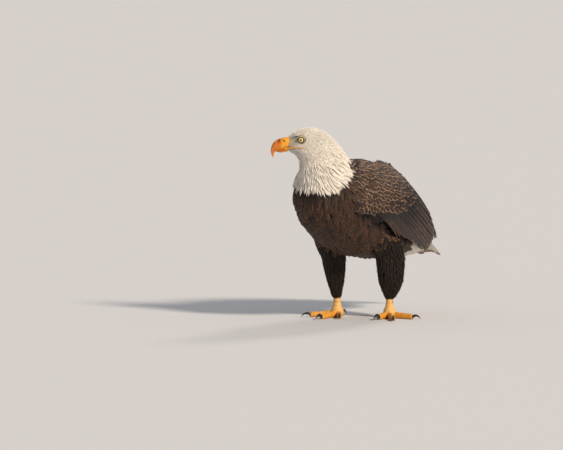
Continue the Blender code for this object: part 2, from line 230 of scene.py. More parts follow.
class Lie:
    """How feathers lie: each guide has a place, a direction and sizes in millimetres, blended between."""

    def __init__(self, guides, mirrored):
        rows = list(guides)
        if mirrored:
            for (x, y, z), (dx, dy, dz), *sizes in guides:
                if x:
                    rows.append(((-x, y, z), (-dx, dy, dz), *sizes))
            spots = [body_at(*row[0]) for row in rows]
            ways = [Vector(row[1]) for row in rows]
        else:
            for (ahead, up, aside), (da, du, ds), *sizes in guides:
                if aside:
                    rows.append(((ahead, up, -aside), (da, du, -ds), *sizes))
            spots = [head_at(*row[0]) for row in rows]
            ways = [head_way(*row[1]) for row in rows]
        self.spots = np.array(spots)
        self.ways = unit(np.array(ways))
        self.sizes = np.array([row[2:] for row in rows], float)

    def read(self, points):
        """(direction, sizes) at each point."""
        apart = ((points[:, None, :] - self.spots[None]) ** 2).sum(2) / CM**2
        weight = 1 / (apart + 1.0) ** 2
        weight /= weight.sum(1, keepdims=True)
        return unit(weight @ self.ways), weight @ self.sizes


def scatter(surface, allowed, lie, crowd, dice):
    """Roots spread evenly over the allowed faces, further apart along the lie than across it."""
    chosen = np.flatnonzero(allowed)
    area = surface.areas[chosen]
    _, sizes = lie.read(surface.centres[chosen])
    room = sizes[:, 2] * sizes[:, 3] * MM * MM
    count = int(crowd * (area / room).sum())
    faces = dice.choice(chosen, count, p=(area / room) / (area / room).sum())
    a, b = dice.random((2, count, 1))
    corner = surface.points[surface.first[faces]]
    fourth = surface.points[surface.last[faces]]
    top = corner[:, 0] * (1 - a) + corner[:, 1] * a
    bottom = fourth * (1 - a) + corner[:, 2] * a
    points = top * (1 - b) + bottom * b
    ways, sizes = lie.read(points)
    across = sizes[:, 2] * MM
    along = sizes[:, 3] * MM
    cell = along.max()
    keys = np.floor(points / cell).astype(int)
    held = {}
    kept = []
    around = [(i, j, k) for i in (-1, 0, 1) for j in (-1, 0, 1) for k in (-1, 0, 1)]
    for index in range(count):
        x, y, z = keys[index]
        near = [other for i, j, k in around for other in held.get((x + i, y + j, z + k), ())]
        if near:
            off = points[near] - points[index]
            run = off @ ways[index]
            total = (off * off).sum(1)
            apart = (run / along[index]) ** 2 + (total - run * run) / across[index] ** 2
            if apart.min() < 1:
                continue
        held.setdefault((x, y, z), []).append(index)
        kept.append(index)
    return points[kept], surface.normals[faces[kept]]


def marched(surface, roots, lie, lengths, stops, yaw, stiffness=0.45):
    """Each feather's middle line over the skin: (points, directions of the skin, own directions)."""
    points = [roots]
    here, up = surface.snap(roots)
    ways, _ = lie.read(here)
    ways = unit(ways - (ways * up).sum(1, keepdims=True) * up)
    sides = np.cross(up, ways)
    ways = unit(ways * np.cos(yaw)[:, None] + sides * np.sin(yaw)[:, None])
    ups = [up]
    headings = [ways]
    for start, end in zip(stops, stops[1:]):
        step = (end - start) * lengths[:, None]
        ahead = here + ways * step
        spot, normal = surface.snap(ahead)
        slipped = np.linalg.norm(spot - ahead, axis=1, keepdims=True) > 0.75 * step
        spot = np.where(slipped, ahead, spot)
        up = unit(np.where(slipped, up, up * 0.35 + normal * 0.65))
        field, _ = lie.read(spot)
        turned = ways * stiffness + field * (1 - stiffness)
        turned = turned - (turned * up).sum(1, keepdims=True) * up
        ways = unit(np.where(slipped, ways, turned))
        here = spot
        points.append(here)
        ups.append(up)
        headings.append(ways)
    return np.stack(points, 1), np.stack(ups, 1), np.stack(headings, 1)


class Vane:
    """The form that a tract's feathers share: a thin closed blade of rings along its shaft."""

    def __init__(self, stops, widths, corners):
        self.stops = stops
        self.widths = np.array(widths)
        shape = bmesh.new()
        ring_of = shape.verts.layers.int.new("ring")
        corner_of = shape.verts.layers.int.new("corner")
        circle = bmesh.ops.create_circle(shape, segments=corners, radius=1.0)["verts"]
        for number, vert in enumerate(circle):
            vert[corner_of] = number
        first = shape.edges[:]
        edges = first
        for ring in range(1, len(stops)):
            grown = bmesh.ops.extrude_edge_only(shape, edges=edges)["geom"]
            verts = {item for item in grown if isinstance(item, bmesh.types.BMVert)}
            for vert in verts:
                vert[ring_of] = ring
            edges = [edge for edge in shape.edges if edge.verts[0] in verts and edge.verts[1] in verts]
        for ends, ring in ((first, 0), (edges, len(stops) - 1)):
            face = bmesh.ops.contextual_create(shape, geom=ends)["faces"][0]
            pole = bmesh.ops.poke(shape, faces=[face])["verts"][0]
            pole[ring_of] = ring
            pole[corner_of] = -1
        for vert in shape.verts:
            angle = 2 * math.pi * vert[corner_of] / corners
            vert.co = (math.cos(angle), vert[ring_of], math.sin(angle))
            if vert[corner_of] < 0:
                vert.co = (0, vert[ring_of] * 1.2 - 0.1, 0)
        bmesh.ops.recalc_face_normals(shape, faces=shape.faces[:])
        shape.verts.index_update()
        self.ring = np.array([vert[ring_of] for vert in shape.verts])
        turn = np.array([2 * math.pi * vert[corner_of] / corners for vert in shape.verts])
        inner = np.array([vert[corner_of] < 0 for vert in shape.verts])
        self.across = np.where(inner, 0.0, -np.cos(turn))
        self.lift = np.where(inner, 0.0, np.sin(turn))
        self.pole = np.where(inner, np.where(self.ring > 0, 1.0, -1.0), 0.0)
        self.loops = np.array([vert.index for face in shape.faces for vert in face.verts])
        self.sizes = np.array([len(face.verts) for face in shape.faces])
        self.triangles = int((self.sizes - 2).sum())
        shape.free()


def blades(form, points, ups, ways, half, thick, camber, ragged=None, tilt=0.0):
    """The corners of every feather of a tract, from its middle lines. Tilt lifts one edge of the vane."""
    ring = form.ring
    count = len(points)
    width = half[:, None] * form.widths[None]
    if ragged is not None:
        width = width * ragged
    wide = width[:, ring]
    sides = np.cross(ways, ups)
    at = points[:, ring]
    at = at + sides[:, ring] * (form.across[None, :, None] * wide[..., None])
    drop = camber * form.across[None] ** 2 * wide
    depth = form.lift[None] * thick[:, None] * (0.35 + 0.65 * np.minimum(1, form.widths[ring]))[None]
    lean = np.reshape(tilt, (-1, 1)) * form.across[None] * np.minimum(1, form.ring / 3)[None]
    at = at + ups[:, ring] * (depth - drop + lean)[..., None]
    at = at + ways[:, ring] * (form.pole[None] * 0.35 * wide * np.abs(form.pole))[..., None]
    return at.reshape(count, len(ring), 3)


def plume_mesh(name, form, corners, roots, unwrap, tints):
    """Joins a tract's feathers in one mesh, with its maps and its tints."""
    count, each = corners.shape[:2]
    mesh = bpy.data.meshes.new(name)
    mesh.vertices.add(count * each)
    mesh.vertices.foreach_set("co", corners.astype(np.float32).ravel())
    loops = (form.loops[None] + (np.arange(count) * each)[:, None]).ravel()
    sizes = np.tile(form.sizes, count)
    mesh.loops.add(len(loops))
    mesh.loops.foreach_set("vertex_index", loops.astype(np.int32))
    mesh.polygons.add(len(sizes))
    mesh.polygons.foreach_set("loop_start", np.concatenate([[0], np.cumsum(sizes)[:-1]]).astype(np.int32))
    mesh.update(calc_edges=True)
    mesh.polygons.foreach_set("use_smooth", np.ones(len(sizes), bool))
    along = np.array(form.stops)[form.ring]
    vane = np.stack([(form.across + 1) / 2, along], 1)[form.loops]
    patch = unwrap(roots)[:, None, :] + (vane[None] - 0.5) * PATCH
    bake = mesh.uv_layers.new(name="OFBake")
    bake.data.foreach_set("uv", np.clip(patch, 0, 1).astype(np.float32).ravel())
    laid = mesh.uv_layers.new(name="Vane")
    laid.data.foreach_set("uv", np.tile(vane, (count, 1)).astype(np.float32).ravel())
    tint = mesh.attributes.new("Plume", "FLOAT_COLOR", "POINT")
    tint.data.foreach_set("color", np.repeat(tints, each, axis=0).astype(np.float32).ravel())
    mesh.validate()
    return mesh


PATCH = 0.003


def round_unwrap(centre, axis, low, high):
    """An unwrap of a long body: the turn round its axis and the way along it."""
    axis = np.array(axis, float)
    side = unit(np.cross(axis, (0.0, 0.0, 1.0)))
    top = np.cross(side, axis)
    centre = np.array(centre)

    def unwrap(points):
        off = points - centre
        turn = np.arctan2(off @ side, off @ top) / (2 * math.pi) + 0.5
        run = (off @ axis - low) / (high - low)
        return np.clip(np.stack([turn, run], 1), PATCH, 1 - PATCH)

    return unwrap


# ---- Materials ----------------------------------------------------------------------------------


def add(tree, kind, sockets=None, stops=None, **settings):
    """Adds a node with its settings, and links or sets its sockets."""
    made = tree.nodes.new(kind)
    for key, value in settings.items():
        setattr(made, key, value)
    for socket, value in (sockets or {}).items():
        if isinstance(value, bpy.types.NodeSocket):
            tree.links.new(value, made.inputs[socket])
        else:
            made.inputs[socket].default_value = value
    if stops:
        ramp = made.color_ramp
        while len(ramp.elements) < len(stops):
            ramp.elements.new(1.0)
        for element, (position, colour) in zip(ramp.elements, stops):
            element.position = position
            element.color = colour
    return made


def started(name):
    """A new material's tree with its shader."""
    made = bpy.data.materials.new(name)
    made.use_nodes = True
    tree = made.node_tree
    return made, tree, tree.nodes["Principled BSDF"]


def maths(tree, operation, *values):
    return add(tree, "ShaderNodeMath", dict(enumerate(values)), operation=operation).outputs[0]


def mixed(tree, share, first, second, blend="MIX"):
    made = add(
        tree, "ShaderNodeMix", {0: share, 6: first, 7: second}, data_type="RGBA", blend_type=blend
    )
    return made.outputs[2]


def ranged(tree, value, low, high, out_low=0.0, out_high=1.0):
    made = add(
        tree,
        "ShaderNodeMapRange",
        {0: value, 1: low, 2: high, 3: out_low, 4: out_high},
        interpolation_type="SMOOTHSTEP",
    )
    return made.outputs[0]


def feather_material(name, vane_colour, dark_colour, fringe_colour, fringe, roughness, barbs):
    """Barbed vane of keratin: matt, with a fine slanting rib from the shaft out and a worn pale edge, and
    painted shade darkening it towards the root.
    """
    made, tree, shader = started(name)
    vane = add(tree, "ShaderNodeUVMap", uv_map="Vane").outputs[0]
    split = add(tree, "ShaderNodeSeparateXYZ", {0: vane})
    plume = add(tree, "ShaderNodeAttribute", attribute_name="Plume")
    tint = add(tree, "ShaderNodeSeparateColor", {0: plume.outputs[0]})
    chance, edging, tone = tint.outputs
    across = maths(tree, "ABSOLUTE", maths(tree, "MULTIPLY_ADD", split.outputs[0], 2.0, -1.0))
    along = split.outputs[1]
    where = add(tree, "ShaderNodeTexCoord").outputs["Object"]
    wobble = add(
        tree, "ShaderNodeTexNoise", {"Vector": where, "Scale": 1 / (9 * MM), "Detail": 3.0}
    ).outputs[0]
    shift = maths(tree, "MULTIPLY_ADD", wobble, 0.22, -0.11)
    side_from, end_from = fringe
    side = ranged(tree, maths(tree, "ADD", across, shift), side_from, side_from + 0.12)
    near = maths(tree, "MULTIPLY_ADD", shift, 1 - end_from, along)
    end = ranged(tree, near, end_from, 0.5 + 0.5 * end_from)
    border = maths(tree, "MAXIMUM", side, end)
    outer = ranged(tree, along, 0.3, 0.55)
    border = maths(tree, "MULTIPLY", maths(tree, "MULTIPLY", border, outer), edging)
    slant = maths(tree, "MULTIPLY_ADD", across, -0.12 * barbs, maths(tree, "MULTIPLY", along, barbs))
    rib = maths(tree, "SINE", maths(tree, "MULTIPLY", slant, 2 * math.pi))
    rib = maths(tree, "MULTIPLY_ADD", rib, 0.5, 0.5)
    body = mixed(tree, tone, dark_colour, vane_colour)
    body = mixed(tree, maths(tree, "MULTIPLY", rib, 0.22), body, dark_colour)
    body = mixed(tree, maths(tree, "MULTIPLY", chance, 0.35), body, vane_colour)
    # Painted shade: the vane darkens towards its root, where the feathers lying over it would shade it.
    painted_root_shade = ranged(tree, along, 0.2, 0.75, 0.75, 0.0)
    body = mixed(tree, painted_root_shade, body, dark_colour)
    coloured = mixed(tree, border, body, fringe_colour)
    shaft = ranged(tree, across, 0.0, 0.09, 1.0, 0.0)
    coloured = mixed(tree, maths(tree, "MULTIPLY", shaft, 0.45), coloured, dark_colour)
    tree.links.new(coloured, shader.inputs["Base Color"])
    height = maths(tree, "MULTIPLY_ADD", shaft, 1.2, rib)
    bump = add(tree, "ShaderNodeBump", {"Height": height, "Strength": 0.5, "Distance": 0.25 * MM})
    tree.links.new(bump.outputs[0], shader.inputs["Normal"])
    shader.inputs["Roughness"].default_value = roughness
    shader.inputs["IOR"].default_value = 1.54
    shader.inputs["Specular IOR Level"].default_value = 0.3
    return made


def skin_material():
    """Downy hide under the feathers: soft grey down on the body, greyish yellow bare skin before the eyes."""
    made, tree, shader = started("down and bare skin")
    marks = add(tree, "ShaderNodeAttribute", attribute_name="Marks")
    split = add(tree, "ShaderNodeSeparateColor", {0: marks.outputs[0]})
    where = add(tree, "ShaderNodeTexCoord").outputs["Object"]
    fluff = add(tree, "ShaderNodeTexNoise", {"Vector": where, "Scale": 1 / (2 * MM), "Detail": 4.0})
    white = mixed(tree, fluff.outputs[0], linear("A89C8A"), linear("E2D8C8"))
    dark = mixed(tree, fluff.outputs[0], linear("120C09"), linear("2A1D15"))
    bare = mixed(tree, fluff.outputs[0], linear("CDB88C"), linear("EADBB6"))
    coat = mixed(tree, split.outputs[0], dark, white)
    coat = mixed(tree, split.outputs[1], coat, bare)
    # The third mark paints the dark lid edge, and the painted shadow strip along each brow ridge.
    coat = mixed(tree, split.outputs[2], coat, linear("2B2018"))
    tree.links.new(coat, shader.inputs["Base Color"])
    bump = add(
        tree, "ShaderNodeBump", {"Height": fluff.outputs[0], "Strength": 0.6, "Distance": 0.6 * MM}
    )
    tree.links.new(bump.outputs[0], shader.inputs["Normal"])
    shader.inputs["Roughness"].default_value = 0.75
    return made


def horn_material():
    """Bill sheath of keratin, grown in layers: waxy and smooth, deeper orange and scuffed towards the ridge."""
    made, tree, shader = started("bill horn")
    marks = add(tree, "ShaderNodeAttribute", attribute_name="Marks")
    split = add(tree, "ShaderNodeSeparateColor", {0: marks.outputs[0]})
    where = add(tree, "ShaderNodeTexCoord").outputs["Object"]
    cloud = add(tree, "ShaderNodeTexNoise", {"Vector": where, "Scale": 1 / (7 * MM), "Detail": 5.0})
    fine = add(tree, "ShaderNodeTexNoise", {"Vector": where, "Scale": 1 / (1.2 * MM), "Detail": 3.0})
    yellow = mixed(tree, cloud.outputs[0], linear("F2A01E"), linear("F7B43A"))
    orange = mixed(tree, cloud.outputs[0], linear("D4580C"), linear("F49A1A"))
    stained = maths(tree, "MULTIPLY", split.outputs[1], ranged(tree, cloud.outputs[0], 0.36, 0.54))
    horn = mixed(tree, split.outputs[0], orange, yellow)
    horn = mixed(tree, stained, horn, linear("6A1A0A"))
    # Painted shade: the third mark paints the nostril's opening near black.
    horn = mixed(tree, split.outputs[2], horn, linear("1A0D07"))
    tree.links.new(horn, shader.inputs["Base Color"])
    bump = add(
        tree, "ShaderNodeBump", {"Height": fine.outputs[0], "Strength": 0.25, "Distance": 0.15 * MM}
    )
    tree.links.new(bump.outputs[0], shader.inputs["Normal"])
    shader.inputs["Roughness"].default_value = 0.32
    shader.inputs["IOR"].default_value = 1.54
    shader.inputs["Coat Weight"].default_value = 0.25
    shader.inputs["Coat Roughness"].default_value = 0.2
    shader.inputs["Subsurface Weight"].default_value = 0.08
    shader.inputs["Subsurface Radius"].default_value = (0.004, 0.0015, 0.0005)
    return made


def foot_material():
    """Scaled skin: hard glossy plates over yellow hide, darker in the grooves between them."""
    made, tree, shader = started("scaled skin")
    marks = add(tree, "ShaderNodeAttribute", attribute_name="Marks")
    split = add(tree, "ShaderNodeSeparateColor", {0: marks.outputs[0]})
    where = add(tree, "ShaderNodeTexCoord").outputs["Object"]
    cells = add(
        tree,
        "ShaderNodeTexVoronoi",
        {"Vector": where, "Scale": 1 / (1.9 * MM)},
        feature="DISTANCE_TO_EDGE",
    ).outputs["Distance"]
    cloud = add(tree, "ShaderNodeTexNoise", {"Vector": where, "Scale": 1 / (8 * MM), "Detail": 4.0})
    hide = mixed(tree, cloud.outputs[0], linear("E08A1E"), linear("F6C050"))
    pale = mixed(tree, cloud.outputs[0], linear("F2B450"), linear("FAD48A"))
    hide = mixed(tree, split.outputs[0], hide, pale)
    groove = ranged(tree, cells, 0.0, 0.16, 1.0, 0.0)
    groove = maths(tree, "MULTIPLY", groove, 0.4)
    hide = mixed(tree, groove, hide, linear("8A4A12"))
    # The second mark paints the dark joints between the scutes, and painted shade on the undersides.
    hide = mixed(tree, split.outputs[1], hide, linear("5E3410"))
    hide = mixed(tree, split.outputs[2], hide, linear("8E2A12"))
    tree.links.new(hide, shader.inputs["Base Color"])
    bump = add(
        tree,
        "ShaderNodeBump",
        {"Height": ranged(tree, cells, 0.0, 0.2), "Strength": 0.5, "Distance": 0.35 * MM},
    )
    tree.links.new(bump.outputs[0], shader.inputs["Normal"])
    shader.inputs["Roughness"].default_value = 0.42
    shader.inputs["IOR"].default_value = 1.5
    shader.inputs["Subsurface Weight"].default_value = 0.06
    shader.inputs["Subsurface Radius"].default_value = (0.003, 0.0012, 0.0004)
    return made


def claw_material():
    """Black claw keratin, worn smooth: a grey sheen with faint streaks along the hook."""
    made, tree, shader = started("claw horn")
    where = add(tree, "ShaderNodeTexCoord").outputs["Object"]
    grain = add(tree, "ShaderNodeTexNoise", {"Vector": where, "Scale": 1 / (1.5 * MM), "Detail": 5.0})
    colour = mixed(tree, grain.outputs[0], linear("0A0A0C"), linear("2C2A2C"))
    tree.links.new(colour, shader.inputs["Base Color"])
    rough = ranged(tree, grain.outputs[0], 0.3, 0.7, 0.2, 0.38)
    tree.links.new(rough, shader.inputs["Roughness"])
    bump = add(
        tree, "ShaderNodeBump", {"Height": grain.outputs[0], "Strength": 0.2, "Distance": 0.1 * MM}
    )
    tree.links.new(bump.outputs[0], shader.inputs["Normal"])
    shader.inputs["IOR"].default_value = 1.54
    return made


def eye_material():
    """A wet eyeball: black pupil, pale straw iris with fine spokes and a dark rim, under clear cornea."""
    made, tree, shader = started("eye")
    ring = add(tree, "ShaderNodeAttribute", attribute_name="Ring").outputs["Fac"]
    where = add(tree, "ShaderNodeTexCoord").outputs["Object"]
    spokes = add(tree, "ShaderNodeTexNoise", {"Vector": where, "Scale": 1 / (0.5 * MM), "Detail": 2.0})
    wavered = maths(tree, "MULTIPLY_ADD", spokes.outputs[0], 0.36, maths(tree, "ADD", ring, -0.18))
    bands = add(
        tree,
        "ShaderNodeValToRGB",
        {0: maths(tree, "DIVIDE", wavered, 12.0)},
        stops=(
            (0.0, linear("020202")),
            (0.205, linear("020202")),
            (0.225, linear("B08A3A")),
            (0.3, linear("E9D38C")),
            (0.44, linear("F0DFA0")),
            (0.5, linear("8A6A2C")),
            (0.53, linear("0A0706")),
            (1.0, linear("050404")),
        ),
    )
    tree.links.new(bands.outputs[0], shader.inputs["Base Color"])
    shader.inputs["Roughness"].default_value = 0.08
    shader.inputs["IOR"].default_value = 1.38
    shader.inputs["Coat Weight"].default_value = 1.0
    shader.inputs["Coat Roughness"].default_value = 0.02
    return made


# ---- Skin ---------------------------------------------------------------------------------------
FLESH = ("head", "neck", "trunk", "wing_left", "wing_right", "thigh_left", "thigh_right")
OUTLINE = FLESH + ("primaries_left", "primaries_right", "tail", "tarsus_left", "tarsus_right")
SKIN_VOXEL = 2.5 * MM
COAT_DEPTH = {"head": 1.6, "neck": 5.0, "trunk": 7.0, "wing": 7.5, "thigh": 6.0, "other": 3.0}
BROW_HEIGHT = 4.6                     # mm that the brow ridge stands out over the eye
RUFF_MIDDLE = (-5.0, -6.0)            # in the head's ahead and up
# Where the white hackles' tips end, as ahead and up of the eyes, from the throat round to the nape.
RUFF_EDGE = (
    (2.6, -11.5),
    (0.2, -14.4),
    (-1.5, -14.6),
    (-4.0, -14.2),
    (-6.0, -14.9),
    (-8.1, -14.7),
    (-9.9, -14.6),
    (-11.5, -13.0),
    (-13.4, -10.4),
    (-13.9, -8.3),
    (-13.4, -6.4),
    (-12.2, -4.2),
)

laid = {}


def ruff_depth(points):
    """How far inside the white ruff's edge points are, in centimetres."""
    seen = in_head(points)
    off = seen[:, :2] - np.array(RUFF_MIDDLE)
    edge = np.array(RUFF_EDGE) - np.array(RUFF_MIDDLE)
    turn = np.unwrap(np.arctan2(edge[:, 1], edge[:, 0]))
    reach = np.linalg.norm(edge, axis=1)
    order = np.argsort(turn)
    here = np.arctan2(off[:, 1], off[:, 0])
    here = np.where(here < turn.min() - 0.4, here + 2 * math.pi, here)
    here = np.where(here > turn.max() + 0.4, here - 2 * math.pi, here)
    inside = np.interp(here, turn[order], reach[order], left=40.0, right=40.0)
    return inside - np.linalg.norm(off, axis=1)


def brow(points):
    """The height in millimetres of the ridge over each eye, and of the hollow of the lore before it."""
    seen = in_head(points)
    ahead, up, aside = seen.T
    line = 1.12 - 0.16 * ahead
    along = np.exp(-(((ahead - 0.7) / 1.75) ** 4))
    ridge = BROW_HEIGHT * along * np.exp(-(((up - line) / 0.42) ** 2))
    hollow = 1.6 * np.exp(-(((ahead - 2.1) / 0.9) ** 2) - ((up + 0.1) / 0.75) ** 2)
    return (ridge - hollow) * smoothstep(0.8, 2.0, np.abs(aside))


def sculpted_head(mesh):
    """Raises the brow ridges and sinks the lores, sideways from the head's middle plane."""
    points, _ = corners_of(mesh)
    near = np.linalg.norm(points - np.array(EYE_MIDDLE), axis=1) < 0.09
    side = np.sign(in_head(points)[:, 2])
    points[near] += (brow(points) * side)[near, None] * np.array(HEAD_LEFT)[None] * MM
    move_corners(mesh, points)


def wing_core(shape):
    """Cuts a bmesh of the wings back to the arm, where flesh is."""
    for point, away in ((body_at(0, 9.5, 30), (0, 1, 0)), (body_at(0, -2.0, 28.5), (0, 0.32, -0.95))):
        geometry = shape.verts[:] + shape.edges[:] + shape.faces[:]
        cut = bmesh.ops.bisect_plane(
            shape, geom=geometry, dist=1e-7, plane_co=point, plane_no=away, clear_outer=True
        )
        edges = [item for item in cut["geom_cut"] if isinstance(item, bmesh.types.BMEdge)]
        bmesh.ops.holes_fill(shape, edges=edges, sides=0)
    return shape


def build_outline():
    """The envelope that feather tips lie on."""
    mesh = remeshed(merged(OUTLINE), SKIN_VOXEL, 4)
    sculpted_head(mesh)
    surface = Surface(mesh)
    names = OUTLINE + ("bill_upper", "bill_lower")
    surface.kind = np.array(names)[nearest_node(surface.centres, names)]
    laid["outline"] = surface
    return mesh


def build_skin(materials):
    shape = merged([name for name in FLESH if not name.startswith("wing")])
    held = bpy.data.meshes.new("arms")
    arms = wing_core(merged([name for name in FLESH if name.startswith("wing")]))
    arms.to_mesh(held)
    arms.free()
    shape.from_mesh(held)
    bpy.data.meshes.remove(held)
    mesh = remeshed(shape, SKIN_VOXEL, 6)
    sculpted_head(mesh)
    points, normals = corners_of(mesh)
    kinds = np.array([name.split("_")[0] for name in FLESH])[nearest_node(points, FLESH)]
    depth = np.array([COAT_DEPTH.get(kind, COAT_DEPTH["other"]) for kind in kinds]) * MM
    inset = relaxed(mesh, 8, points - normals * depth[:, None])
    move_corners(mesh, np.where((kinds == "head")[:, None], points - normals * depth[:, None], inset))
    seen = in_head(points)
    white = smoothstep(0.6, 1.4, ruff_depth(points))
    from_eye = np.hypot(seen[:, 0], seen[:, 1])
    lore = smoothstep(-0.2, 1.0, seen[:, 0]) * smoothstep(1.35, 0.9, np.abs(seen[:, 1] + 0.35))
    bare = np.maximum(lore, smoothstep(1.4, 1.05, from_eye)) * (np.abs(seen[:, 2]) > 1.0)
    lash = smoothstep(1.05, 0.8, from_eye) * (np.abs(seen[:, 2]) > 2.0)
    marks = np.stack([white, bare * white, lash, np.ones_like(white)], 1)
    layer = mesh.attributes.new("Marks", "FLOAT_COLOR", "POINT")
    layer.data.foreach_set("color", marks.astype(np.float32).ravel())
    mesh.shade_smooth()
    place("skin", mesh, [materials["skin"]], FLESH)


# ---- Feather tracts -----------------------------------------------------------------------------
# A guide is a place, the way its feathers point, their length and width, and how far apart their
# roots are across and along, in millimetres. Head guides are ahead, up and aside of the eyes.
HEAD_LIE = Lie(
    (
        ((3.1, 1.2, 0.0), (-0.7, 0.7, 0.0), 3.2, 1.7, 0.9, 1.5),
        ((1.2, 2.6, 0.0), (-0.95, 0.4, 0.0), 4.5, 2.2, 1.2, 2.0),
        ((-2.6, 3.2, 0.0), (-1.0, -0.1, 0.0), 6.5, 2.8, 1.5, 2.8),
        ((-6.5, 2.0, 0.0), (-0.85, -0.5, 0.0), 9.0, 3.4, 1.8, 3.6),
        ((-9.6, -0.8, 0.0), (-0.6, -0.8, 0.0), 15.0, 4.2, 2.2, 5.0),
        ((-12.0, -4.5, 0.0), (-0.5, -0.87, 0.0), 25.0, 4.8, 2.6, 7.0),
        ((2.6, 0.5, 2.0), (-0.9, 0.3, 0.2), 2.6, 1.1, 1.0, 1.9),
        ((2.4, -0.6, 2.0), (-1.0, -0.05, 0.2), 2.4, 0.9, 1.1, 2.0),
        ((1.2, -0.5, 3.0), (-1.0, -0.25, 0.1), 2.4, 0.9, 1.0, 1.8),
        ((0.9, 1.3, 3.0), (-1.0, 0.1, 0.0), 3.0, 1.7, 0.9, 1.5),
        ((-1.6, 1.3, 3.2), (-1.0, 0.1, 0.0), 4.5, 2.2, 1.2, 2.1),
        ((-2.2, 0.0, 3.4), (-1.0, -0.12, 0.0), 5.0, 2.3, 1.2, 2.3),
        ((0.0, -1.5, 3.3), (-1.0, -0.25, 0.0), 3.4, 1.8, 1.0, 1.8),
        ((1.0, -3.2, 2.4), (-0.85, -0.5, 0.0), 5.0, 2.2, 1.2, 2.4),
        ((-2.4, -2.6, 3.6), (-0.85, -0.5, 0.0), 8.0, 2.9, 1.5, 3.2),
        ((2.4, -3.4, 0.0), (-0.8, -0.6, 0.0), 5.0, 2.0, 1.2, 2.4),
        ((1.2, -5.0, 0.0), (-0.35, -0.93, 0.0), 11.0, 3.0, 1.6, 4.2),
        ((-5.0, -1.0, 4.2), (-0.9, -0.42, 0.0), 9.0, 3.3, 1.7, 3.6),
        ((-1.8, -5.5, 3.6), (-0.4, -0.9, 0.0), 15.0, 3.9, 2.1, 5.0),
        ((-6.0, -4.5, 4.8), (-0.66, -0.75, 0.0), 18.0, 4.3, 2.3, 5.6),
        ((0.6, -9.0, 0.0), (-0.04, -1.0, 0.0), 30.0, 4.6, 2.6, 8.0),
        ((-1.5, -9.5, 4.2), (-0.12, -0.99, 0.0), 32.0, 4.8, 2.7, 8.5),
        ((-5.0, -9.5, 5.6), (-0.45, -0.9, 0.0), 34.0, 5.0, 2.9, 9.0),
        ((-9.0, -7.5, 5.4), (-0.68, -0.73, 0.0), 32.0, 5.0, 2.8, 9.0),
        ((-12.0, -7.5, 3.0), (-0.72, -0.69, 0.0), 30.0, 5.0, 2.8, 8.5),
        ((-0.4, -14.0, 2.0), (0.02, -1.0, 0.0), 38.0, 5.0, 2.9, 9.0),
        ((-7.0, -13.0, 5.6), (-0.5, -0.86, 0.0), 38.0, 5.2, 3.0, 9.5),
        ((-12.5, -9.5, 3.0), (-0.78, -0.63, 0.0), 34.0, 5.2, 3.0, 9.5),
    ),
    mirrored=False,
)

BODY_LIE = Lie(
    (
        ((0.0, -29.5, 33.0), (0.0, 0.02, -1.0), 32.0, 15.0, 8.0, 12.0),
        ((0.0, -28.5, 27.0), (0.0, 0.3, -0.95), 34.0, 16.0, 8.5, 13.0),
        ((0.0, -22.0, 20.5), (0.0, 0.75, -0.66), 38.0, 17.0, 9.0, 14.0),
        ((0.0, -8.0, 15.5), (0.0, 0.97, -0.24), 40.0, 18.0, 9.0, 15.0),
        ((0.0, 6.0, 13.5), (0.0, 1.0, 0.0), 40.0, 17.0, 9.0, 15.0),
        ((6.0, -27.0, 34.0), (0.05, 0.12, -0.99), 30.0, 14.0, 8.0, 11.5),
        ((8.5, -23.0, 36.0), (0.1, 0.25, -0.96), 28.0, 13.0, 7.5, 11.0),
        ((9.5, -21.0, 29.0), (0.0, 0.35, -0.94), 32.0, 15.0, 8.5, 12.0),
        ((9.0, -24.0, 24.0), (-0.1, 0.4, -0.9), 34.0, 16.0, 9.0, 13.0),
        ((10.0, -13.0, 25.0), (0.0, 0.42, -0.9), 36.0, 18.0, 10.0, 12.5),
        ((9.0, -12.0, 19.0), (-0.15, 0.5, -0.85), 38.0, 18.0, 10.0, 12.5),
        ((9.0, -2.0, 20.0), (-0.1, 0.4, -0.9), 40.0, 19.0, 10.0, 13.0),
        ((7.5, 4.0, 17.0), (-0.1, 0.7, -0.7), 40.0, 18.0, 10.0, 14.0),
        ((4.0, 12.0, 16.0), (0.0, 0.97, -0.2), 40.0, 17.0, 9.0, 14.0),
        ((0.0, 20.0, 16.0), (0.0, 1.0, -0.1), 46.0, 17.0, 9.0, 14.0),
        ((0.0, -12.0, 42.0), (0.0, 1.0, -0.02), 34.0, 15.0, 8.5, 13.0),
        ((0.0, 4.0, 38.0), (0.0, 0.93, -0.36), 36.0, 16.0, 9.0, 14.0),
        ((0.0, 16.0, 27.0), (0.0, 0.84, -0.55), 44.0, 17.0, 9.0, 15.0),
    ),
    mirrored=True,
)

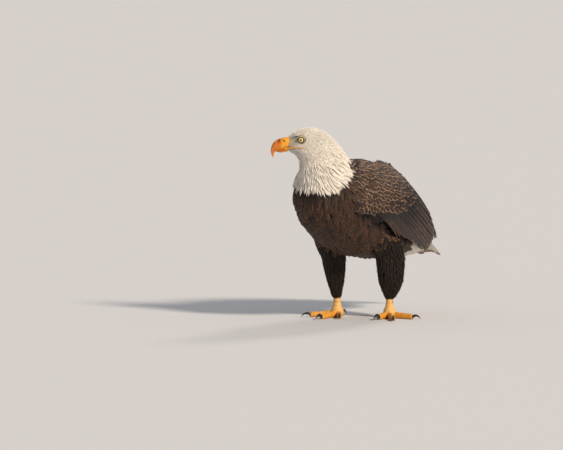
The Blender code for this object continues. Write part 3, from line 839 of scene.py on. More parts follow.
WING_LIE = Lie(
    (
        ((0.0, -14.0, 42.0), (0.0, 1.0, 0.0), 32.0, 14.0, 8.0, 12.0),
        ((0.0, 0.0, 39.5), (0.0, 0.95, -0.3), 38.0, 16.0, 9.0, 14.0),
        ((6.0, -18.5, 40.0), (0.45, 0.5, -0.74), 27.0, 13.0, 7.5, 11.0),
        ((5.5, -10.0, 41.5), (0.3, 0.85, -0.44), 32.0, 14.0, 8.0, 12.5),
        ((8.5, -12.0, 38.5), (0.25, 0.8, -0.55), 32.0, 14.5, 8.0, 13.0),
        ((9.5, -18.5, 34.5), (0.05, 0.45, -0.9), 25.0, 14.0, 8.0, 10.0),
        ((10.8, -16.0, 31.0), (0.0, 0.6, -0.8), 27.0, 17.0, 10.0, 10.5),
        ((11.4, -10.0, 28.5), (0.0, 0.7, -0.71), 30.0, 17.0, 10.0, 11.0),
        ((11.6, -9.0, 34.0), (0.0, 0.8, -0.6), 34.0, 15.0, 8.5, 14.0),
        ((11.6, -2.0, 31.0), (0.0, 0.78, -0.62), 38.0, 16.0, 8.5, 16.0),
        ((10.8, 4.0, 28.0), (0.0, 0.76, -0.65), 40.0, 16.0, 8.5, 17.0),
        ((5.5, -3.0, 41.0), (0.1, 0.93, -0.36), 36.0, 15.0, 8.5, 14.0),
        ((8.5, 2.0, 36.5), (0.1, 0.86, -0.5), 40.0, 16.0, 8.5, 16.0),
        ((3.0, 6.0, 39.0), (0.0, 0.9, -0.44), 40.0, 17.0, 9.0, 16.0),
        ((2.5, 13.0, 35.0), (0.0, 0.85, -0.52), 44.0, 18.0, 9.5, 18.0),
        ((8.5, 10.0, 30.0), (0.0, 0.78, -0.62), 42.0, 16.0, 8.5, 17.0),
        ((7.0, 15.0, 29.0), (0.0, 0.8, -0.6), 44.0, 17.0, 9.0, 18.0),
    ),
    mirrored=True,
)

THIGH_LIE = Lie(
    (
        ((6.5, -4.0, 18.0), (0.05, 0.3, -0.95), 26.0, 7.0, 3.8, 8.0),
        ((6.5, -3.0, 10.0), (0.0, 0.08, -1.0), 24.0, 5.0, 2.9, 7.0),
        ((6.5, -3.0, 6.0), (0.0, 0.0, -1.0), 15.0, 3.4, 2.0, 5.0),
    ),
    mirrored=True,
)

CONTOUR = Vane(
    (0.0, 0.22, 0.46, 0.68, 0.84, 0.95, 1.0), (0.25, 0.72, 0.97, 1.0, 0.86, 0.52, 0.2), 8
)
HACKLE = Vane((0.0, 0.25, 0.5, 0.72, 0.88, 1.0), (0.5, 0.95, 1.0, 0.78, 0.42, 0.06), 6)
DOWNY = Vane((0.0, 0.4, 0.8, 1.0), (0.6, 1.0, 0.75, 0.2), 4)
LOOSE = Vane((0.0, 0.3, 0.6, 0.85, 1.0), (0.5, 1.0, 0.75, 0.4, 0.06), 4)


def tract(name, form, surface, allowed, lie, look, dice, material, unwrap, scale=1.0, keep=None):
    """Grows one tract of feathers. look holds depth, thick, camber, yaw, lift, fringe and tone."""
    roots, _ = scatter(surface, allowed, lie, look.get("crowd", 14), dice)
    count = len(roots)
    _, sizes = lie.read(roots)
    length = sizes[:, 0] * MM * scale * dice.uniform(0.82, 1.18, count)
    half = sizes[:, 1] * MM * scale / 2 * dice.uniform(0.88, 1.12, count)
    yaw = dice.normal(0, look["yaw"], count)
    points, ups, ways = marched(surface, roots, lie, length, form.stops, yaw)
    if keep is not None:
        good = keep(points[:, 0], points[:, -1], dice)
        roots, length, half = roots[good], length[good], half[good]
        points, ups, ways = points[good], ups[good], ways[good]
        count = len(roots)
    stops = np.array(form.stops)
    depth = look["depth"](roots) if callable(look["depth"]) else np.full(count, look["depth"])
    sink = look["sink"](roots) if "sink" in look else np.zeros(count)
    lift = dice.normal(0, look["lift"], count)
    rise = -depth[:, None] * (1 - stops[None]) ** 1.25 + lift[:, None] * stops[None] ** 2
    rise = rise - (look.get("base", 0.4) + sink)[:, None] if np.ndim(sink) else rise
    points = points + ups * (rise * MM)[..., None]
    ragged = dice.normal(1, look.get("ragged", 0.04), (count, len(stops)))
    thick = np.full(count, look["thick"] * MM)
    corners = blades(form, points, ups, ways, half, thick, look["camber"], ragged)
    tints = np.ones((count, 4))
    tints[:, 0] = dice.random(count)
    tints[:, 1] = look["fringe"](roots, dice) if callable(look["fringe"]) else look["fringe"]
    tints[:, 2] = look["tone"](roots, dice) if callable(look["tone"]) else look["tone"]
    mesh = plume_mesh(name, form, corners, roots, unwrap, tints)
    made = place(name, mesh, [material])
    print("tract", name, count, "feathers", count * form.triangles, "triangles")
    return made


def from_eye(points):
    seen = in_head(points)
    return np.where(np.abs(seen[:, 2]) > 1.2, np.hypot(seen[:, 0] - 0.05, seen[:, 1]), 9.0)


def head_tract(materials):
    surface = laid["outline"]
    seen = in_head(surface.centres)
    head = np.isin(surface.kind, ("head", "neck"))
    bill = (seen[:, 0] > 3.05) & (seen[:, 1] < 0.9)
    inside = ruff_depth(surface.centres)
    clear = head & (from_eye(surface.centres) > 1.12) & ~bill
    gape = (seen[:, 0] > -0.6) & (np.abs(seen[:, 1] + 2.35 - 0.06 * seen[:, 0]) < 0.3)
    small = clear & (seen[:, 1] + 0.35 * seen[:, 0] > -3.4) & ~(gape & (np.abs(seen[:, 2]) > 1.5))
    dice = np.random.default_rng(11)
    unwrap = round_unwrap(head_at(-4, -4), -np.array(head_way(-0.5, -0.86)), -0.12, 0.09)

    def lore_tone(roots, dice):
        place_seen = in_head(roots)
        lore = smoothstep(0.4, 1.6, place_seen[:, 0]) * smoothstep(1.1, 0.5, np.abs(place_seen[:, 1] + 0.4))
        return np.clip(dice.uniform(0.7, 1.0, len(roots)) - 0.3 * lore, 0, 1)

    def face_depth(roots):
        _, sizes = HEAD_LIE.read(roots)
        return np.clip(sizes[:, 0] * 0.2, 0.6, 2.5)

    look = {"depth": face_depth, "thick": 0.16, "camber": 0.25, "yaw": 0.12, "lift": 0.25}
    look.update({"fringe": 0.0, "tone": lore_tone, "base": 0.1})
    tract(
        "face_feathers", DOWNY, surface, small, HEAD_LIE, look, dice, materials["white"],
        unwrap,
    )
    low = head & ~small & ~bill & (from_eye(surface.centres) > 1.3) & (inside > 1.0) & ~(seen[:, 0] > 2.6)
    lowest = (surface.kind == "trunk") & (inside > 1.0)

    def within(first, last, dice):
        return ruff_depth(last) > dice.normal(0.0, 0.35, len(last))

    def hackle_depth(roots):
        _, sizes = HEAD_LIE.read(roots)
        return np.clip(sizes[:, 0] * 0.16, 0.8, 5.0)

    look = {"depth": hackle_depth, "thick": 0.3, "camber": 0.35, "yaw": 0.1, "lift": 1.0}
    look.update({"fringe": 0.0, "tone": lambda roots, dice: dice.uniform(0.35, 1.0, len(roots))})
    look.update({"base": 0.2, "ragged": 0.08, "crowd": 12})
    tract(
        "hackles", HACKLE, surface, low | lowest, HEAD_LIE, look, dice, materials["white"],
        unwrap, keep=within,
    )


def body_tracts(materials):
    surface = laid["outline"]
    at = (surface.centres - np.array(body_at(0, 0, 0))) / CM
    x, y, z = at.T
    inside = ruff_depth(surface.centres)
    dark = ((surface.kind == "trunk") | (surface.kind == "neck")) & (inside < 1.5)
    back = dark & (surface.normals[:, 2] > 0.35) & (y > -24) & (z > 27)
    vent = (np.isin(surface.kind, ("trunk", "tail"))) & (y > 9.0) & (z < 21.5)
    rump = (np.isin(surface.kind, ("trunk", "tail"))) & (y > 12.0) & ~vent & (y < 22)
    quill_edge = np.interp(y, (-17, -2, 15.6), (28.8, 22.2, 16.4))
    quilled = (np.abs(x) > 6) & (y > -17) & (z > quill_edge + 0.8) & (z < 31)
    front = dark & ~back & ~vent & ~rump & ~quilled
    dice = np.random.default_rng(23)
    unwrap = round_unwrap(body_at(0, 0, 30), (0, 1, 0), -0.32, 0.32)

    def sink(roots):
        return 3.2 * smoothstep(-0.6, 0.6, ruff_depth(roots))

    def flank_fringe(roots, dice):
        spot = (roots - np.array(body_at(0, 0, 0))) / CM
        rear = smoothstep(-20, -8, spot[:, 1]) * smoothstep(4.0, 7.0, np.abs(spot[:, 0]))
        return np.clip((0.4 + 0.55 * rear) * dice.uniform(0.5, 1.3, len(roots)), 0, 1)

    look = {"depth": 4.2, "thick": 0.5, "camber": 0.32, "yaw": 0.2, "lift": 0.9, "sink": sink}
    look.update({"fringe": flank_fringe, "ragged": 0.09})
    look["tone"] = lambda roots, dice: dice.uniform(0.1, 0.9, len(roots))
    tract(
        "breast_feathers", CONTOUR, surface, front, BODY_LIE, look, dice, materials["brown"],
        unwrap,
    )

    def short_of_tail(first, last, dice):
        off = (last - np.array(body_at(0, 0, 0))) / CM
        return (off[:, 1] < 21 + dice.normal(0, 0.5, len(last))) & (np.abs(off[:, 0]) < 5.2)

    look = {"depth": 4.5, "thick": 0.5, "camber": 0.35, "yaw": 0.1, "lift": 0.4, "fringe": 0.0}
    look.update({"tone": lambda roots, dice: dice.uniform(0.1, 0.6, len(roots)), "ragged": 0.08})
    tract(
        "tail_coverts", CONTOUR, surface, vent | rump, BODY_LIE, look, dice, materials["white"],
        unwrap, keep=short_of_tail,
    )
    wing = np.isin(surface.kind, ("wing_left", "wing_right"))
    covert_line = np.interp(y, (-19, -10, -5, 2, 7, 11, 15), (30.2, 30.4, 30.4, 30.2, 30.6, 31.8, 33.2))
    upper = wing & (z > covert_line) & (y < 13.5)
    upper &= (surface.normals[:, 0] * np.sign(x) > -0.2) | (surface.normals[:, 2] > 0.3)
    look = {"depth": 4.6, "thick": 0.55, "camber": 0.3, "yaw": 0.07, "lift": 0.6, "base": 0.2}
    look["sink"] = lambda roots: 3.0 * smoothstep(-0.6, 0.6, ruff_depth(roots))
    look["fringe"] = lambda roots, dice: dice.uniform(0.7, 1.0, len(roots))
    look["tone"] = lambda roots, dice: dice.uniform(0.2, 0.9, len(roots))
    look["ragged"] = 0.05
    tract(
        "wing_coverts", CONTOUR, surface, (back & ~rump) | upper, WING_LIE, look, dice,
        materials["covert"], unwrap,
    )


def thigh_tract(materials):
    surface = laid["outline"]
    thigh = np.isin(surface.kind, ("thigh_left", "thigh_right"))
    dice = np.random.default_rng(31)
    unwrap = round_unwrap(body_at(0, 0, 12), (0, 0, -1), -0.1, 0.12)
    look = {"depth": 3.4, "thick": 0.35, "camber": 0.3, "yaw": 0.14, "lift": 0.8, "fringe": 0.25}
    look["tone"] = lambda roots, dice: dice.uniform(0.0, 0.7, len(roots))
    look.update({"ragged": 0.12, "base": 0.2})
    tract(
        "thigh_feathers", LOOSE, surface, thigh, THIGH_LIE, look, dice, materials["thigh"],
        unwrap,
    )


# ---- Quills -------------------------------------------------------------------------------------
QUILL = Vane(
    (0.0, 0.08, 0.18, 0.3, 0.42, 0.54, 0.65, 0.75, 0.84, 0.91, 0.96, 1.0),
    (0.35, 0.6, 0.85, 0.97, 1.0, 1.0, 1.0, 0.97, 0.9, 0.76, 0.55, 0.2),
    12,
)


QUILL_TILT = 1.3                      # mm that a quill's lower edge stands over the one below


def spaced(rows, count):
    """count rows spread evenly along a list of rows, each a tuple of numbers."""
    rows = np.array(rows, float)
    where = np.linspace(0, len(rows) - 1, count)
    return np.stack([np.interp(where, np.arange(len(rows)), column) for column in rows.T], 1)


# A quill is its root's y and z, its tip's y and z, its width and its depth under the next one up.
SECONDARIES = (
    (-18.5, 30.4, -2.4, 21.9, 2.2, 4.6),
    (-17.0, 31.0, 0.6, 21.4, 2.3, 4.2),
    (-14.0, 30.6, 6.5, 19.6, 2.6, 3.8),
    (-10.5, 29.0, 15.2, 16.3, 3.0, 3.4),
    (-8.5, 30.0, 16.9, 17.7, 3.0, 2.8),
    (-6.5, 31.5, 17.6, 19.6, 3.1, 2.2),
    (-3.5, 33.5, 17.8, 22.2, 3.2, 1.6),
    (1.5, 35.5, 17.8, 25.6, 3.4, 1.0),
    (6.0, 37.5, 18.0, 29.5, 3.6, 0.5),
)
PRIMARIES = (
    (4.0, 29.0, 20.5, 18.2, 2.4, 6.4),
    (6.0, 30.0, 25.0, 18.2, 2.5, 5.8),
    (7.0, 31.0, 28.4, 19.4, 2.6, 5.2),
    (8.0, 32.0, 27.2, 21.0, 2.6, 4.6),
    (9.0, 34.0, 25.0, 23.6, 2.6, 3.9),
    (10.0, 35.5, 22.0, 26.8, 2.8, 3.1),
)


def wing_quills(name, rows, count, material, materials, dice, fringe):
    """Long feathers lying over each wing's outer side, each on top of the one below it."""
    made = []
    for side_name, side in SIDES:
        surface = laid["wing_" + side_name]
        table = spaced(rows, count)
        stops = np.array(QUILL.stops)
        starts, ends = table[:, 0:2], table[:, 2:4]
        sag = np.sin(np.pi * stops)[None, :, None] * np.array([0.25, 0.55])
        flat = starts[:, None] * (1 - stops)[None, :, None] + ends[:, None] * stops[None, :, None] + sag
        points = np.empty((count, len(stops), 3))
        ups = np.empty_like(points)
        for row in range(count):
            for step in range(len(stops)):
                y, z = flat[row, step]
                origin = body_at(side * 30, y, z)
                base = laid["outline"] if name == "secondaries" and y < 8 else surface
                hit = base.tree.ray_cast(origin, Vector((-side, 0, 0)))
                spot = hit[0]
                if spot is None:
                    hit = base.tree.find_nearest(body_at(side * 14, y, z))
                    spot = hit[0]
                    if abs(spot.y - origin.y) < 1.2 * CM and abs(spot.z - origin.z) < 1.2 * CM:
                        spot = Vector((spot.x, origin.y, origin.z))
                points[row, step] = spot
                ups[row, step] = base.normals[hit[2]]
        ups[..., 0] = side * np.maximum(side * ups[..., 0], 0.35)
        for _ in range(3):
            points[:, 1:-1] = (points[:, :-2] + 2 * points[:, 1:-1] + points[:, 2:]) / 4
            ups[:, 1:-1] = unit(ups[:, :-2] + 2 * ups[:, 1:-1] + ups[:, 2:])
        ways = unit(np.gradient(points, axis=1))
        ups = unit(ups - (ups * ways).sum(2, keepdims=True) * ways)
        half = table[:, 4] * CM / 2 * dice.uniform(0.96, 1.04, count)
        under = table[:, 5] + dice.normal(0, 0.1, count)
        rise = np.linspace(5.5, 2.5, count) if name == "secondaries" else np.zeros(count)
        height = rise[:, None] * stops[None, :] - under[:, None]
        points = points + ups * (height * MM)[..., None]
        thick = np.full(count, 0.7 * MM)
        corners = blades(QUILL, points, ups, ways, half, thick, 0.03, tilt=side * QUILL_TILT * MM)
        tints = np.ones((count, 4))
        tints[:, 0] = dice.random(count)
        tints[:, 1] = fringe
        tints[:, 2] = dice.uniform(0.3, 0.8, count)
        label = f"{name}_{side_name}"
        mesh = plume_mesh(label, QUILL, corners, points[:, 0], grid_unwrap(count), tints)
        spread_quill_map(mesh, QUILL, count)
        nodes = (f"primaries_{side_name}",) if name == "primaries" else ()
        made.append(place(label, mesh, [material], nodes))
    return made


def grid_unwrap(count):
    return lambda points: np.full((len(points), 2), 0.5)


def spread_quill_map(mesh, form, count):
    """Gives each long quill a strip of its own in the bake map, its two faces side by side."""
    along = np.array(form.stops)[form.ring]
    upper = (form.lift > -0.01)[form.loops]
    half = np.where(upper, 0.25, 0.75) + (form.across[form.loops]) * 0.22
    strip = np.stack([half, along[form.loops]], 1)
    rows = np.arange(count)[:, None]
    u = (rows + strip[None, :, 0]) / count
    v = 0.02 + 0.96 * np.broadcast_to(strip[None, :, 1], u.shape)
    maps = np.stack([u, v], 2).astype(np.float32)
    mesh.uv_layers["OFBake"].data.foreach_set("uv", maps.ravel())


TAIL_FEATHERS = 12


def tail_quills(materials):
    """Twelve tail feathers in a closed fan, the middle pair on top."""
    low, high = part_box("tail")
    dice = np.random.default_rng(53)
    stops = np.array(QUILL.stops)
    points = np.empty((TAIL_FEATHERS, len(stops), 3))
    ups = np.empty_like(points)
    surface = laid["tail"]
    for row in range(TAIL_FEATHERS):
        share = (row + 0.5) / (TAIL_FEATHERS / 2) - 1
        for step, stop in enumerate(stops):
            y = 10.5 + (30.9 - 0.7 * share * share - 10.5) * stop
            x = share * (1.7 + 1.55 * stop)
            hit = surface.tree.ray_cast(body_at(x, y, 60), Vector((0, 0, -1)))
            if hit[0] is None:
                hit = surface.tree.find_nearest(body_at(x, y, 40 - 0.8 * y))
            points[row, step] = hit[0]
            ups[row, step] = surface.normals[hit[2]]
        points[row, :, 2] -= (0.9 + 3.2 * abs(share)) * MM
    for _ in range(3):
        points[:, 1:-1] = (points[:, :-2] + 2 * points[:, 1:-1] + points[:, 2:]) / 4
        ups[:, 1:-1] = unit(ups[:, :-2] + 2 * ups[:, 1:-1] + ups[:, 2:])
    ways = unit(np.gradient(points, axis=1))
    ups = unit(ups - (ups * ways).sum(2, keepdims=True) * ways)
    half = np.full(TAIL_FEATHERS, 1.55 * CM)
    lean = np.sign(np.arange(TAIL_FEATHERS) - TAIL_FEATHERS / 2 + 0.5) * 0.8 * MM
    thick = np.full(TAIL_FEATHERS, 0.6 * MM)
    corners = blades(QUILL, points, ups, ways, half, thick, 0.02, tilt=lean)
    tints = np.ones((TAIL_FEATHERS, 4))
    tints[:, 0] = dice.random(TAIL_FEATHERS)
    tints[:, 1] = 0.9
    tints[:, 2] = dice.uniform(0.5, 1.0, TAIL_FEATHERS)
    mesh = plume_mesh(
        "tail_feathers", QUILL, corners, points[:, 0], grid_unwrap(TAIL_FEATHERS), tints
    )
    spread_quill_map(mesh, QUILL, TAIL_FEATHERS)
    place("tail_feathers", mesh, [materials["tail"]], ("tail",))


# ---- Bill, eyes and feet ------------------------------------------------------------------------


def build_bill(materials):
    """The two mandibles with the cere, nostrils and cutting edge, from fine copies of the solids."""
    for node, name in (("bill_upper", "upper_bill"), ("bill_lower", "lower_bill")):
        mesh = remeshed(merged([node]), 0.55 * MM, 6)
        points, normals = corners_of(mesh)
        seen = in_head(points)
        ahead, up, aside = seen.T
        if node == "bill_upper":
            cere = smoothstep(5.05, 4.75, ahead + 0.12 * up)
            # Painted shade: the nostril is a shallow dent, painted near black for the shade inside its opening.
            slit = (ahead - 4.5) * 0.62 - (up + 0.35) * 0.78
            run = (ahead - 4.5) * 0.78 + (up + 0.35) * 0.62
            nostril = np.exp(-((slit / 0.16) ** 2) - (run / 0.42) ** 4) * (np.abs(aside) > 0.4)
            nostril = nostril * smoothstep(5.1, 4.9, ahead)
            edge = -2.38 - 0.11 * (ahead - 3.46) - 0.05 * (ahead - 3.46) ** 2
            lip = np.exp(-(((up - edge - 0.22) / 0.1) ** 2)) * smoothstep(6.6, 5.6, ahead)
            swell = 0.35 * cere - 1.8 * nostril + 0.25 * lip
            stain = smoothstep(5.0, 5.8, ahead) * smoothstep(-1.6, -0.2, up) + 0.25 * smoothstep(
                5.0, 6.0, ahead
            )
            marks = np.stack([cere + 0.2, np.clip(stain, 0, 1), nostril, np.ones_like(up)], 1)
        else:
            cere = smoothstep(4.6, 4.2, ahead)
            swell = 0.1 * cere
            marks = np.stack([cere, 0.2 * (1 - cere), 0 * cere, np.ones_like(up)], 1)
        back = smoothstep(3.75, 3.35, ahead) * 2.6 * MM
        moved = points + normals * (swell * MM)[:, None] - np.array(HEAD_AHEAD) * back[:, None]
        if node == "bill_lower":
            moved[:, 2] += 1.6 * MM * smoothstep(3.9, 4.8, ahead)
        move_corners(mesh, moved)
        layer = mesh.attributes.new("Marks", "FLOAT_COLOR", "POINT")
        layer.data.foreach_set("color", np.clip(marks, 0, 1).astype(np.float32).ravel())
        mesh.shade_smooth()
        place(name, mesh, [materials["horn"]], (node,))


def ribbon(points, halves, corners=10, flat=0.6):
    """A closed rounded strip through points, for a fold or a lip of skin."""
    shape = bmesh.new()
    ring = bmesh.ops.create_circle(shape, segments=corners, radius=1.0)["verts"]
    order = {vert: number for number, vert in enumerate(ring)}
    edges = shape.edges[:]
    first = edges
    points = [Vector(point) for point in points]
    for number, point in enumerate(points):
        after = points[min(number + 1, len(points) - 1)]
        before = points[max(number - 1, 0)]
        way = (after - before).normalized()
        out = HEAD_LEFT * math.copysign(1, (point - EYE_MIDDLE).dot(HEAD_LEFT))
        side = way.cross(out).normalized()
        out = side.cross(way)
        if number:
            grown = bmesh.ops.extrude_edge_only(shape, edges=edges)["geom"]
            verts = [item for item in grown if isinstance(item, bmesh.types.BMVert)]
            fresh = {}
            for vert in verts:
                near = [edge.other_vert(vert) for edge in vert.link_edges]
                old = [other for other in near if other in order]
                fresh[vert] = order[old[0]]
            chosen = set(verts)
            edges = [
                edge for edge in shape.edges if edge.verts[0] in chosen and edge.verts[1] in chosen
            ]
            order = fresh
        for vert, corner in order.items():
            angle = 2 * math.pi * corner / corners
            vert.co = point + (side * math.cos(angle) + out * (flat * math.sin(angle))) * halves[number]
    for ends in (first, edges):
        bmesh.ops.contextual_create(shape, geom=ends)
    bmesh.ops.recalc_face_normals(shape, faces=shape.faces[:])
    mesh = bpy.data.meshes.new("ribbon")
    shape.to_mesh(mesh)
    shape.free()
    return mesh


def build_gape(materials):
    """The yellow lip of bare skin that runs back from the bill to below the eye."""
    surface = laid["outline"]
    for side_name, side in SIDES:
        spine = []
        halves = []
        for step in range(15):
            share = step / 14
            ahead = 4.2 - 4.7 * share
            up = -2.45 + 0.42 * share + 0.12 * math.sin(math.pi * share)
            spot, normal = surface.snap(np.array([head_at(ahead, up, side * 3.6)]))
            lift = 0.25 + 0.35 * math.sin(math.pi * min(1, share * 1.4))
            place_here = Vector(spot[0]) + Vector(normal[0]) * lift * MM
            if ahead > 3.5:
                place_here = head_at(ahead, up, side * (1.62 - 0.1 * (ahead - 3.5)))
            spine.append(place_here)
            halves.append((2.2 - 1.3 * share) * MM)
        mesh = ribbon(spine, halves)
        points, _ = corners_of(mesh)
        marks = np.ones((len(points), 4))
        marks[:, 1:3] = 0.0
        layer = mesh.attributes.new("Marks", "FLOAT_COLOR", "POINT")
        layer.data.foreach_set("color", marks.astype(np.float32).ravel())
        mesh.shade_smooth()
        made = place("gape_" + side_name, mesh, [materials["horn"]])
        soft = made.modifiers.new("Soft", "SUBSURF")
        soft.levels = 2
        soft.render_levels = 2


def build_eyes(materials):
    for side_name, side in SIDES:
        centre = middle("eye_" + side_name)
        gaze = (HEAD_LEFT * side + HEAD_AHEAD * 0.1 - Vector((0, 0, 0.04))).normalized()
        turn = gaze.to_track_quat("Z", "Y").to_matrix().to_4x4()
        shape = bmesh.new()
        bmesh.ops.create_uvsphere(shape, u_segments=64, v_segments=48, radius=EYE_RADIUS * 0.985)
        for vert in shape.verts:
            off = math.hypot(vert.co.x, vert.co.y) / EYE_RADIUS
            if vert.co.z > 0:
                vert.co.z += EYE_RADIUS * 0.06 * math.exp(-((off / 0.45) ** 4))
        rings = [math.hypot(vert.co.x, vert.co.y) / MM if vert.co.z > 0 else 12.0 for vert in shape.verts]
        bmesh.ops.transform(shape, matrix=Matrix.Translation(centre) @ turn, verts=shape.verts[:])
        mesh = bpy.data.meshes.new("eyeball")
        shape.to_mesh(mesh)
        shape.free()
        layer = mesh.attributes.new("Ring", "FLOAT", "POINT")
        layer.data.foreach_set("value", rings)
        mesh.shade_smooth()
        place("eyeball_" + side_name, mesh, [materials["eye"]], ("eye_" + side_name,))
        build_lids(side_name, side, centre, gaze, materials)


def build_lids(side_name, side, centre, gaze, materials):
    """A ring of dark lid edge inside a ring of bare yellow skin, lathed and drawn to a point in front, and a
    dark strip of painted shadow along the brow ridge.
    """
    shape = bmesh.new()
    profile = ((0.80, 0.2), (0.86, 0.9), (0.93, 1.1), (1.0, 0.9), (1.08, 0.9), (1.16, 0.5), (1.24, -0.6))
    verts = []
    for radius, height in profile:
        reach = radius * 9.4 * MM
        base = math.sqrt(max(EYE_RADIUS**2 - reach**2, (0.2 * EYE_RADIUS) ** 2))
        verts.append(shape.verts.new((reach, 0, base + height * MM)))
    edges = [shape.edges.new(pair) for pair in zip(verts, verts[1:])]
    bmesh.ops.spin(
        shape, geom=verts + edges, cent=(0, 0, 0), axis=(0, 0, 1), dvec=(0, 0, 0),
        angle=2 * math.pi, steps=56, use_merge=True,
    )
    bmesh.ops.solidify(shape, geom=shape.faces[:], thickness=0.5 * MM)
    bmesh.ops.recalc_face_normals(shape, faces=shape.faces[:])
    turn = Matrix((HEAD_AHEAD, Vector((0, 0, 1)), gaze)).transposed()
    marks = []
    for vert in shape.verts:
        away = math.hypot(vert.co.x, vert.co.y)
        rim = smoothstep(9.3 * MM, 8.3 * MM, away)
        marks.append((0.6, 0.95 * float(1 - rim), float(rim), 1.0))
        front = max(0.0, vert.co.x / max(away, 1e-9))
        back = max(0.0, -vert.co.x / max(away, 1e-9))
        vert.co.x += (1.3 * front**6 - 0.7 * -(back**6)) * MM * (1 if vert.co.x > 0 else -1)
        vert.co.z -= 1.1 * MM * front**5
    bmesh.ops.transform(shape, matrix=Matrix.Translation(centre) @ turn.to_4x4(), verts=shape.verts[:])
    mesh = bpy.data.meshes.new("lids")
    shape.to_mesh(mesh)
    shape.free()
    layer = mesh.attributes.new("Marks", "FLOAT_COLOR", "POINT")
    layer.data.foreach_set("color", np.array(marks, np.float32).ravel())
    mesh.shade_smooth()
    place("lids_" + side_name, mesh, [materials["skin"]])
    # Painted shadow: a thin dark strip laid on the skin along the brow ridge, darkened with the lid edge's dark
    # mark, standing for the shade the ridge casts.
    spine = []
    for ahead, up in ((3.3, 0.5), (2.7, 0.72), (2.1, 0.86), (1.5, 0.95), (0.9, 1.0), (0.2, 1.08)):
        spot, normal = laid["outline"].snap(np.array([head_at(ahead, up, side * 3.6)]))
        spine.append(Vector(spot[0]) + Vector(normal[0]) * 0.2 * MM)
    mesh = ribbon(spine, [0.5 * MM, 0.9 * MM, 1.1 * MM, 1.2 * MM, 1.1 * MM, 0.5 * MM])
    layer = mesh.attributes.new("Marks", "FLOAT_COLOR", "POINT")
    layer.data.foreach_set("color", np.tile(np.float32([0.4, 0.0, 0.8, 1.0]), len(mesh.vertices)))
    mesh.shade_smooth()
    place("brow_shadow_" + side_name, mesh, [materials["skin"]])


def build_feet(materials):
    for side_name, side in SIDES:
        names = ["tarsus_" + side_name] + [f"toe_{toe}_{side_name}" for toe in TOES]
        mesh = remeshed(merged(names), 0.9 * MM, 5)
        points, normals = corners_of(mesh)
        ankle = middle("tarsus_" + side_name)
        off = points - np.array(ankle)
        reach = np.hypot(off[:, 0], off[:, 1])
        kinds = nearest_node(points, names)
        swell = 0.7 * (nearest_node(points, names) > 0)
        joint = np.zeros(len(points))
        top = smoothstep(0.1, 0.7, normals[:, 2])
        for number, toe in enumerate(TOES, start=1):
            on = kinds == number
            band = np.abs(((reach / (4.3 * MM)) % 1.0) - 0.5) * 2
            swell += on * top * (0.95 * smoothstep(1.0, 0.66, band) - 0.3)
            joint += on * top * smoothstep(0.86, 1.0, band)
        leg = kinds == 0
        rows = np.abs(((points[:, 2] / (5.0 * MM)) % 1.0) - 0.5) * 2
        front = smoothstep(-0.2, 0.5, -(off[:, 1] / np.maximum(reach, 1e-9)))
        swell += leg * front * (0.6 * smoothstep(1.0, 0.7, rows) - 0.2)
        joint += leg * front * smoothstep(0.88, 1.0, rows)
        pebbles = [noise.voronoi(Vector(point) / (2.6 * MM))[0] for point in points.tolist()]
        gap = np.array([near[1] - near[0] for near in pebbles])
        scale = smoothstep(0.0, 0.35, gap)
        swell += (1 - np.maximum(top * ~leg, front * leg)) * (0.35 * scale - 0.15)
        low = points[:, 2] < 1.2 * MM
        swell[low] = np.minimum(swell[low], 0)
        moved = points + normals * (swell * MM)[:, None]
        moved[:, 2] = np.maximum(moved[:, 2], 0.0)
        move_corners(mesh, moved)
        # Painted shade: the undersides, where the normals turn down, are darkened with the joints' dark colour.
        under = smoothstep(0.1, -0.6, normals[:, 2])
        pale = leg * 1.0
        tip = smoothstep(0.052, 0.062, reach) * 0.0
        marks = np.stack([pale, np.clip(0.7 * joint + 0.55 * under, 0, 1), tip, np.ones_like(pale)], 1)
        layer = mesh.attributes.new("Marks", "FLOAT_COLOR", "POINT")
        layer.data.foreach_set("color", marks.astype(np.float32).ravel())
        mesh.shade_smooth()
        place("foot_" + side_name, mesh, [materials["foot"]], names)
        for toe in TOES:
            node = f"claw_{toe}_{side_name}"
            mesh = remeshed(merged([node]), 0.45 * MM, 3)
            mesh.shade_smooth()
            place(f"talon_{toe}_{side_name}", mesh, [materials["claw"]], (node,))


# ---- Stage --------------------------------------------------------------------------------------
CAMERA_TURN = 33.0                    # degrees to the bird's left of straight ahead
CAMERA_RISE = 4.0
CAMERA_AWAY = 12.0
VIEW_WIDTH = 1.4816                   # metres across the picture at the bird
FLOOR_REACH = 400.0
VIEW_MIDDLE = (-0.244, 0.241)         # the picture's middle, right of and above the floor's origin


